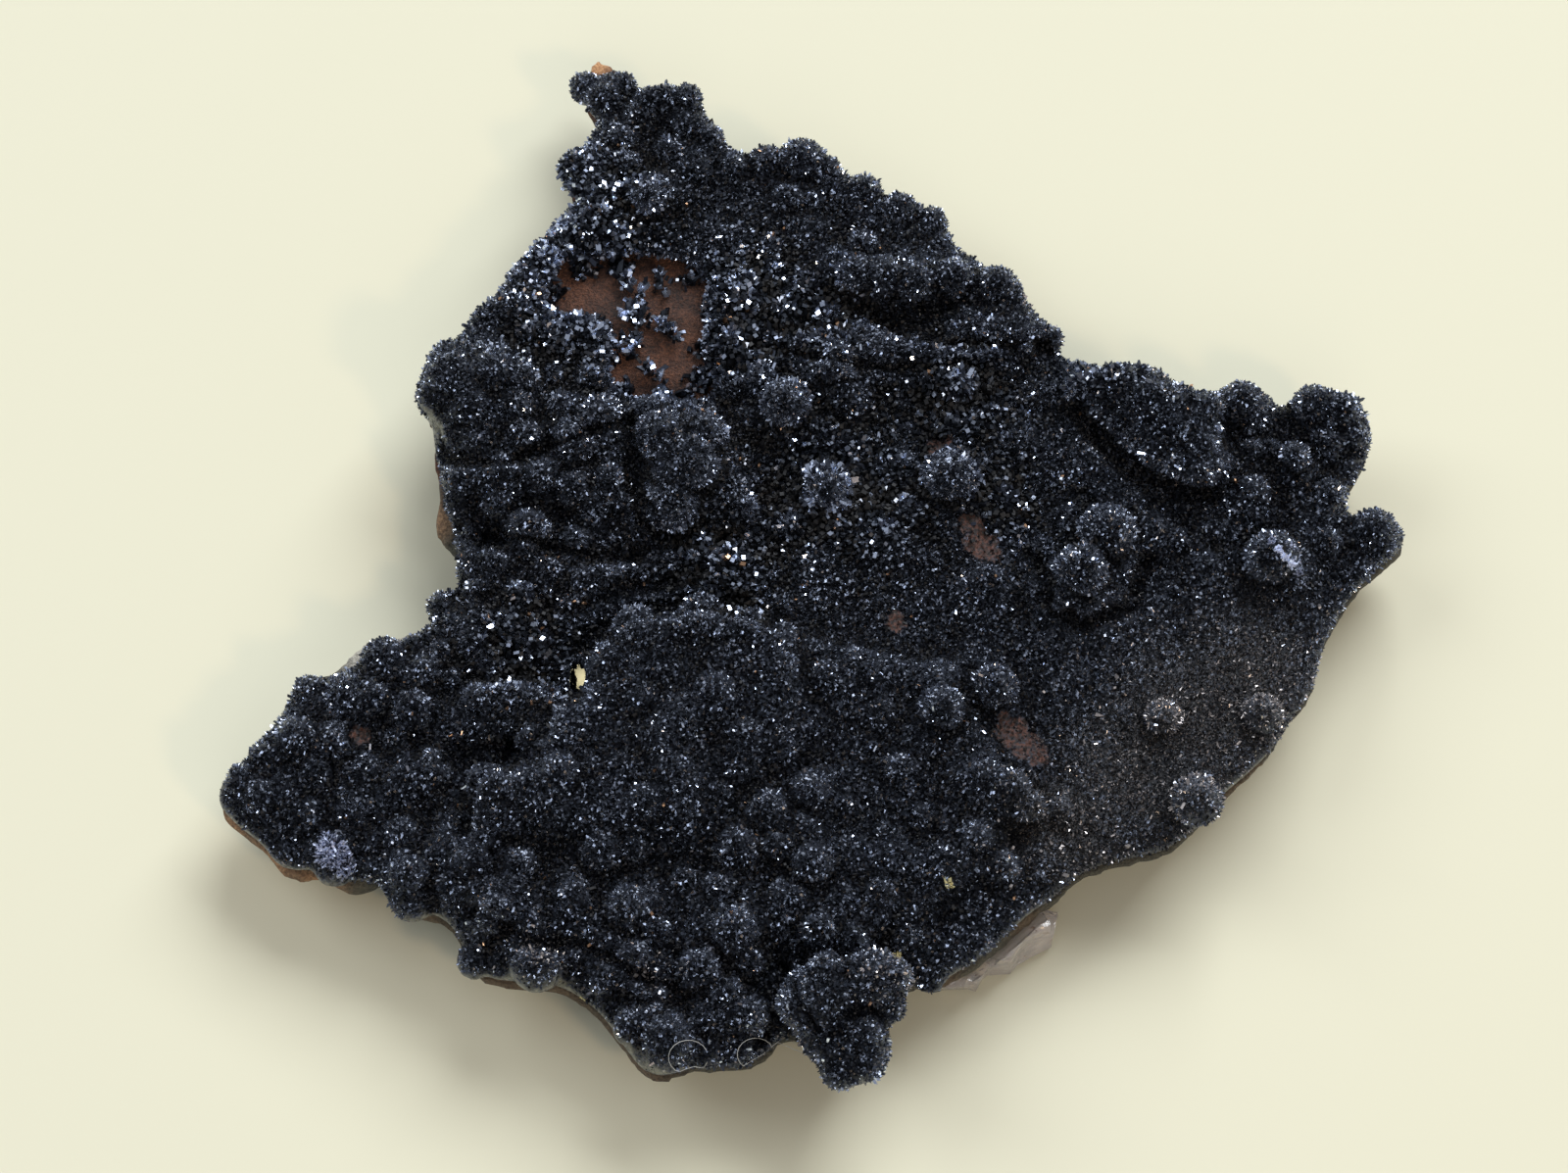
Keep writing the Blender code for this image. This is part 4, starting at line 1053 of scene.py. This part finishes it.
# the brown plate: its zones on the plan as (x, y, reach) in mm, and its ramps of colours
matrixLook = {
    "voxel": 0.72 * mm,
    "smoothing": 3,
    "grain": 0.16 * mm,
    "grainReach": 0.9 * mm,
    "grainCount": 9000,
    "restingTo": 0.25 * mm,
    "holeHalves": (0.75 * mm, 2.1 * mm),
    "opened": [(-16, 33, 13), (-21, 44, 9), (-20, 62, 6), (18, 8, 12), (24, -18, 6), (-36, 17, 4),
               (-42, -17, 5)],
    "tip": [(-20.8, 64.2, 1.8)],
    "shelf": [(-43.2, -6.4, 2.6), (-40.4, -4.6, 2.4)],
    "rim": [(-56, -25, 4), (-51, -29, 4), (-46, -31, 3), (-36.4, 8.6, 3)],
    "earth": [(0.38, (0.015, 0.007, 0.005)), (0.5, (0.074, 0.031, 0.018)), (0.64, (0.195, 0.082, 0.045))],
    "edge": [(0.3, (0.030, 0.027, 0.021)), (0.7, (0.12, 0.115, 0.085))],
    "brokenEdge": [(0.3, (0.08, 0.05, 0.03)), (0.7, (0.20, 0.135, 0.08))],
    "ochre": [(0.35, (0.30, 0.13, 0.05)), (0.65, (0.62, 0.34, 0.16))],
    "stone": [(0.36, (0.20, 0.18, 0.14)), (0.62, (0.50, 0.47, 0.40))],
}


# the plate's part of the hole, which leans the way the camera looks and has an uneven edge
def cutHole(skin):
    bpy.ops.mesh.primitive_cylinder_add(vertices=20, radius=1.0, depth=60 * mm)
    cutter = bpy.context.active_object
    shape = pointsOf(cutter)
    turn = np.arctan2(shape[:, 1], shape[:, 0])
    shape[:, :2] *= (1 + 0.25 * np.sin(3 * turn + 0.6) + 0.12 * np.sin(7 * turn))[:, None]
    movePoints(cutter, shape)
    cutter.scale = (*matrixLook["holeHalves"], 1.0)
    cutter.rotation_euler = (math.pi / 2 - cameraLook["elevation"], 0, 0)
    cutter.location = planPoint(*holePlace, cameraLook["aim"][2])
    bpy.ops.object.transform_apply(location=True, rotation=True, scale=True)
    applied(skin, "BOOLEAN", object=cutter, operation="DIFFERENCE", solver="EXACT")
    bpy.data.objects.remove(cutter, do_unlink=True)


# the plate's earthy grain, which leaves out the patches it rests on
def roughen(skin):
    dice = np.random.default_rng(3)
    points, normals = pointsOf(skin), normalsOf(skin)
    seeds = strewn(skin, matrixLook["grainCount"], lambda middle, facing: 1.0 + 0 * middle[:, 0], dice)[0]
    distance, near = nearestSeeds(points, seeds)
    rise = dice.uniform(-1, 1, size=len(seeds))[near]
    rise *= np.clip(1 - distance / matrixLook["grainReach"], 0, 1)
    resting = points[:, 2] < matrixLook["restingTo"]
    points += normals * (rise * matrixLook["grain"] * ~resting)[:, None]
    points[:, 2] = np.maximum(points[:, 2], 0.0)
    movePoints(skin, points)


def makeMatrixSkin():
    skin = mergedCopy("matrix", "matrixSkin")
    applied(skin, "REMESH", mode="VOXEL", voxel_size=matrixLook["voxel"])
    applied(skin, "SMOOTH", factor=0.5, iterations=matrixLook["smoothing"])
    cutHole(skin)
    roughen(skin)
    points = pointsOf(skin)
    x, y = planOf(points)
    for name in ("tip", "shelf", "rim"):
        keepValue(skin, name, hills(x, y, matrixLook[name]))
    keepValue(skin, "broken", edgeBand(x, y) * np.clip((points[:, 2] / mm - 1.5) / 2, 0, 1))
    keepValue(skin, "opened", np.clip(2 * hills(x, y, matrixLook["opened"]), 0, 1))
    skin.data.shade_smooth()
    skin.data.materials.append(matrixMaterial())
    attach(skin, "root")
    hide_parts("matrix")
    print("matrix skin:", len(skin.data.polygons), "faces")
    return skin


def matrixMaterial():
    sheet = Sheet("brown oxide plate")
    tip, shelf, rim = (sheet.attribute(name) for name in ("tip", "shelf", "rim"))
    opened, broken = sheet.attribute("opened"), sheet.attribute("broken")
    blotch, grain = sheet.noise(4 * mm, 4.0), sheet.noise(0.3 * mm, 3.0, 0.65)
    earth = sheet.ramp(blotch * 0.55 + grain * 0.45, matrixLook["earth"])
    edge = sheet.ramp(grain, matrixLook["edge"])
    edge = sheet.mixed(broken * 0.6, edge, sheet.ramp(grain, matrixLook["brokenEdge"]))
    ochre = sheet.ramp(grain, matrixLook["ochre"])
    stone = sheet.ramp(grain * 0.6 + blotch * 0.4, matrixLook["stone"])
    colour = sheet.mixed(opened, edge, earth)
    colour = sheet.mixed((tip * 1.5 - 0.2).clamped(), colour, ochre)
    colour = sheet.mixed((rim * 1.2 - 0.3).clamped() * grain, colour, ochre)
    colour = sheet.mixed((shelf * 1.6 - 0.4).clamped(), colour, stone)
    return sheet.finish({
        "Base Color": colour,
        "Roughness": 0.75 + 0.2 * grain,
        "Normal": sheet.bump(grain + blotch * 0.5, 0.5 * mm),
    })


# the groups in the window: the spots their crystals stand round, in mm on the plan, and how many stand there
windowGroups = {
    "crystal_group_chain":
        ([(-17.3, 36.6), (-16.5, 35.2), (-15.2, 34.5), (-15.6, 33.0), (-16.6, 32.2), (-15.3, 31.2)], 78),
    "crystal_group_pair": ([(-13.4, 36.2), (-12.5, 35.4)], 22),
    "crystal_group_right": ([(-12.9, 31.0), (-11.9, 30.0), (-11.5, 29.4)], 40),
    "crystal_group_ring": ([(-16.7, 28.3), (-16.0, 27.7), (-15.4, 28.4), (-16.0, 28.9)], 34),
    "crystal_group_single": ([(-14.3, 25.6), (-13.7, 24.5)], 18),
    "crystal_group_low": ([(-12.9, 23.4), (-12.0, 22.8)], 22),
}
groupLook = {
    "foot": 0.25 * mm,
    "rise": (0, 0.5),
    "reach": 0.42 * mm,
    "width": (0.28 * mm, 0.62 * mm),
    "stretch": (1.3, 2.6),
    "upright": 0.8,
    "lean": 0.35,
    "slant": 0.25,
    "toneShares": (0.3, 0.35, 0.35),
}


def makeGroups():
    materials, block, dice = steelMaterials(windowTones), makeBlockTemplate(), np.random.default_rng(11)
    for node, (spots, count) in windowGroups.items():
        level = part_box(node)[0][2] + groupLook["foot"]
        chosen = np.array([planPoint(*spots[index]) for index in dice.integers(len(spots), size=count)])
        places = chosen + dice.normal(scale=groupLook["reach"], size=(count, 3))
        places[:, 2] = level + dice.uniform(*groupLook["rise"], count) * mm
        sizes = sizesOf(groupLook, count, dice)
        outward = (places - chosen) / mm
        outward[:, 2] = groupLook["upright"]
        tones = dice.choice(len(windowTones), size=count, p=groupLook["toneShares"])
        piece = grown(node + "_looks", block, places, outward, sizes, groupLook, dice, materials, tones)
        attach(piece, "root")
        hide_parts(node)
    print("window crystals:", len(windowGroups), "groups")


calciteLook = {
    "colours": [(0.62, (0.96, 0.90, 0.86)), (0.7, (0.35, 0.16, 0.10))],
    "roughness": 0.12,
    "index": 1.55,
    "clear": 0.75,
}


def makeCalcite():
    skin = mergedCopy("calcite", "calciteMass")
    skin.data.shade_flat()
    sheet = Sheet("clear pink-white calcite")
    skin.data.materials.append(sheet.finish({
        "Base Color": sheet.ramp(sheet.noise(0.8 * mm, 3.0, 0.7), calciteLook["colours"]),
        "Roughness": calciteLook["roughness"],
        "IOR": calciteLook["index"],
        "Transmission Weight": calciteLook["clear"],
        "Normal": sheet.bump(sheet.cells(1.2 * mm), 0.3 * mm, 0.6),
    }))
    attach(skin, "root")
    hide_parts("calcite")
    print("calcite done")


stageLook = {
    "floor": (0.586, 0.565, 0.430),
    "floorSize": 3.0,
    "floorGap": 0.2 * mm,
    "world": (0.30, 0.32, 0.36),
    "worldStrength": 0.85,
}


def makeFloor():
    bpy.ops.mesh.primitive_plane_add(size=stageLook["floorSize"], location=(0, 0, -stageLook["floorGap"]))
    floor = bpy.context.active_object
    floor.name = "floor"
    bpy.ops.object.transform_apply(location=True, rotation=True, scale=True)
    sheet = Sheet("cream paper floor")
    floor.data.materials.append(sheet.finish({"Base Color": (*stageLook["floor"], 1.0), "Roughness": 0.9}))


# lights as (name, azimuth from the viewer's right, elevation, distance, size, watts, colour)
lights = [
    ("windowLight", 64, 42, 3.0, (2.4, 1.5), 122.0, (0.91, 0.95, 1.0)),
    ("leftLight", 155, 38, 3.0, (2.0, 1.6), 45.0, (0.92, 0.96, 1.0)),
    ("frontLight", -80, 40, 3.0, (2.0, 1.6), 16.0, (1.0, 0.98, 0.95)),
    ("warmLight", -50, 40, 1.2, (0.12, 0.12), 2.6, (1.0, 0.72, 0.45)),
]
# a very small lamp lights the paper that shows through the hole
holeLamp = {"place": (-20.8, -6.6, 1.6), "size": 1.5 * mm, "watts": 0.00005, "colour": (1.0, 0.93, 0.72)}


def makeLamp(name, watts, colour):
    lamp = linked(name, bpy.data.lights.new(name, "AREA"))
    lamp.data.energy, lamp.data.color = watts, colour
    return lamp


def makeLights():
    for name, azimuth, elevation, distance, size, watts, colour in lights:
        lamp = makeLamp(name, watts, colour)
        lamp.data.shape = "RECTANGLE"
        lamp.data.size, lamp.data.size_y = size
        turn, rise = math.radians(azimuth), math.radians(elevation)
        way = Vector((math.cos(turn) * math.cos(rise), math.sin(turn) * math.cos(rise), math.sin(rise)))
        lamp.location = way * distance
        lamp.rotation_euler = (-way).to_track_quat("-Z", "Y").to_euler()
    lamp = makeLamp("holeLight", holeLamp["watts"], holeLamp["colour"])
    lamp.data.size = holeLamp["size"]
    lamp.location = planPoint(*holeLamp["place"])


def makeWorld():
    world = bpy.data.worlds.new("dim room")
    world.use_nodes = True
    background = world.node_tree.nodes["Background"]
    background.inputs["Color"].default_value = (*stageLook["world"], 1.0)
    background.inputs["Strength"].default_value = stageLook["worldStrength"]
    bpy.context.scene.world = world


def makeCamera():
    camera = linked("camera", bpy.data.cameras.new("camera"))
    camera.data.lens, camera.data.sensor_width = cameraLook["lens"], cameraLook["sensor"]
    camera.data.clip_start, camera.data.clip_end = cameraLook["clip"]
    camera.location = cameraPlace()
    camera.rotation_euler = (math.pi / 2 - cameraLook["elevation"], 0, 0)
    bpy.context.scene.camera = camera


bpy.ops.object.select_all(action="DESELECT")
bpy.context.scene.view_settings.view_transform = "Standard"
crustSkin = makeCrustSkin()
growDruse(crustSkin)
growTufts(crustSkin)
layLint(crustSkin)
growWindowRim(makeMatrixSkin())
makeGroups()
makeCalcite()
makeFloor()
makeLights()
makeWorld()
makeCamera()
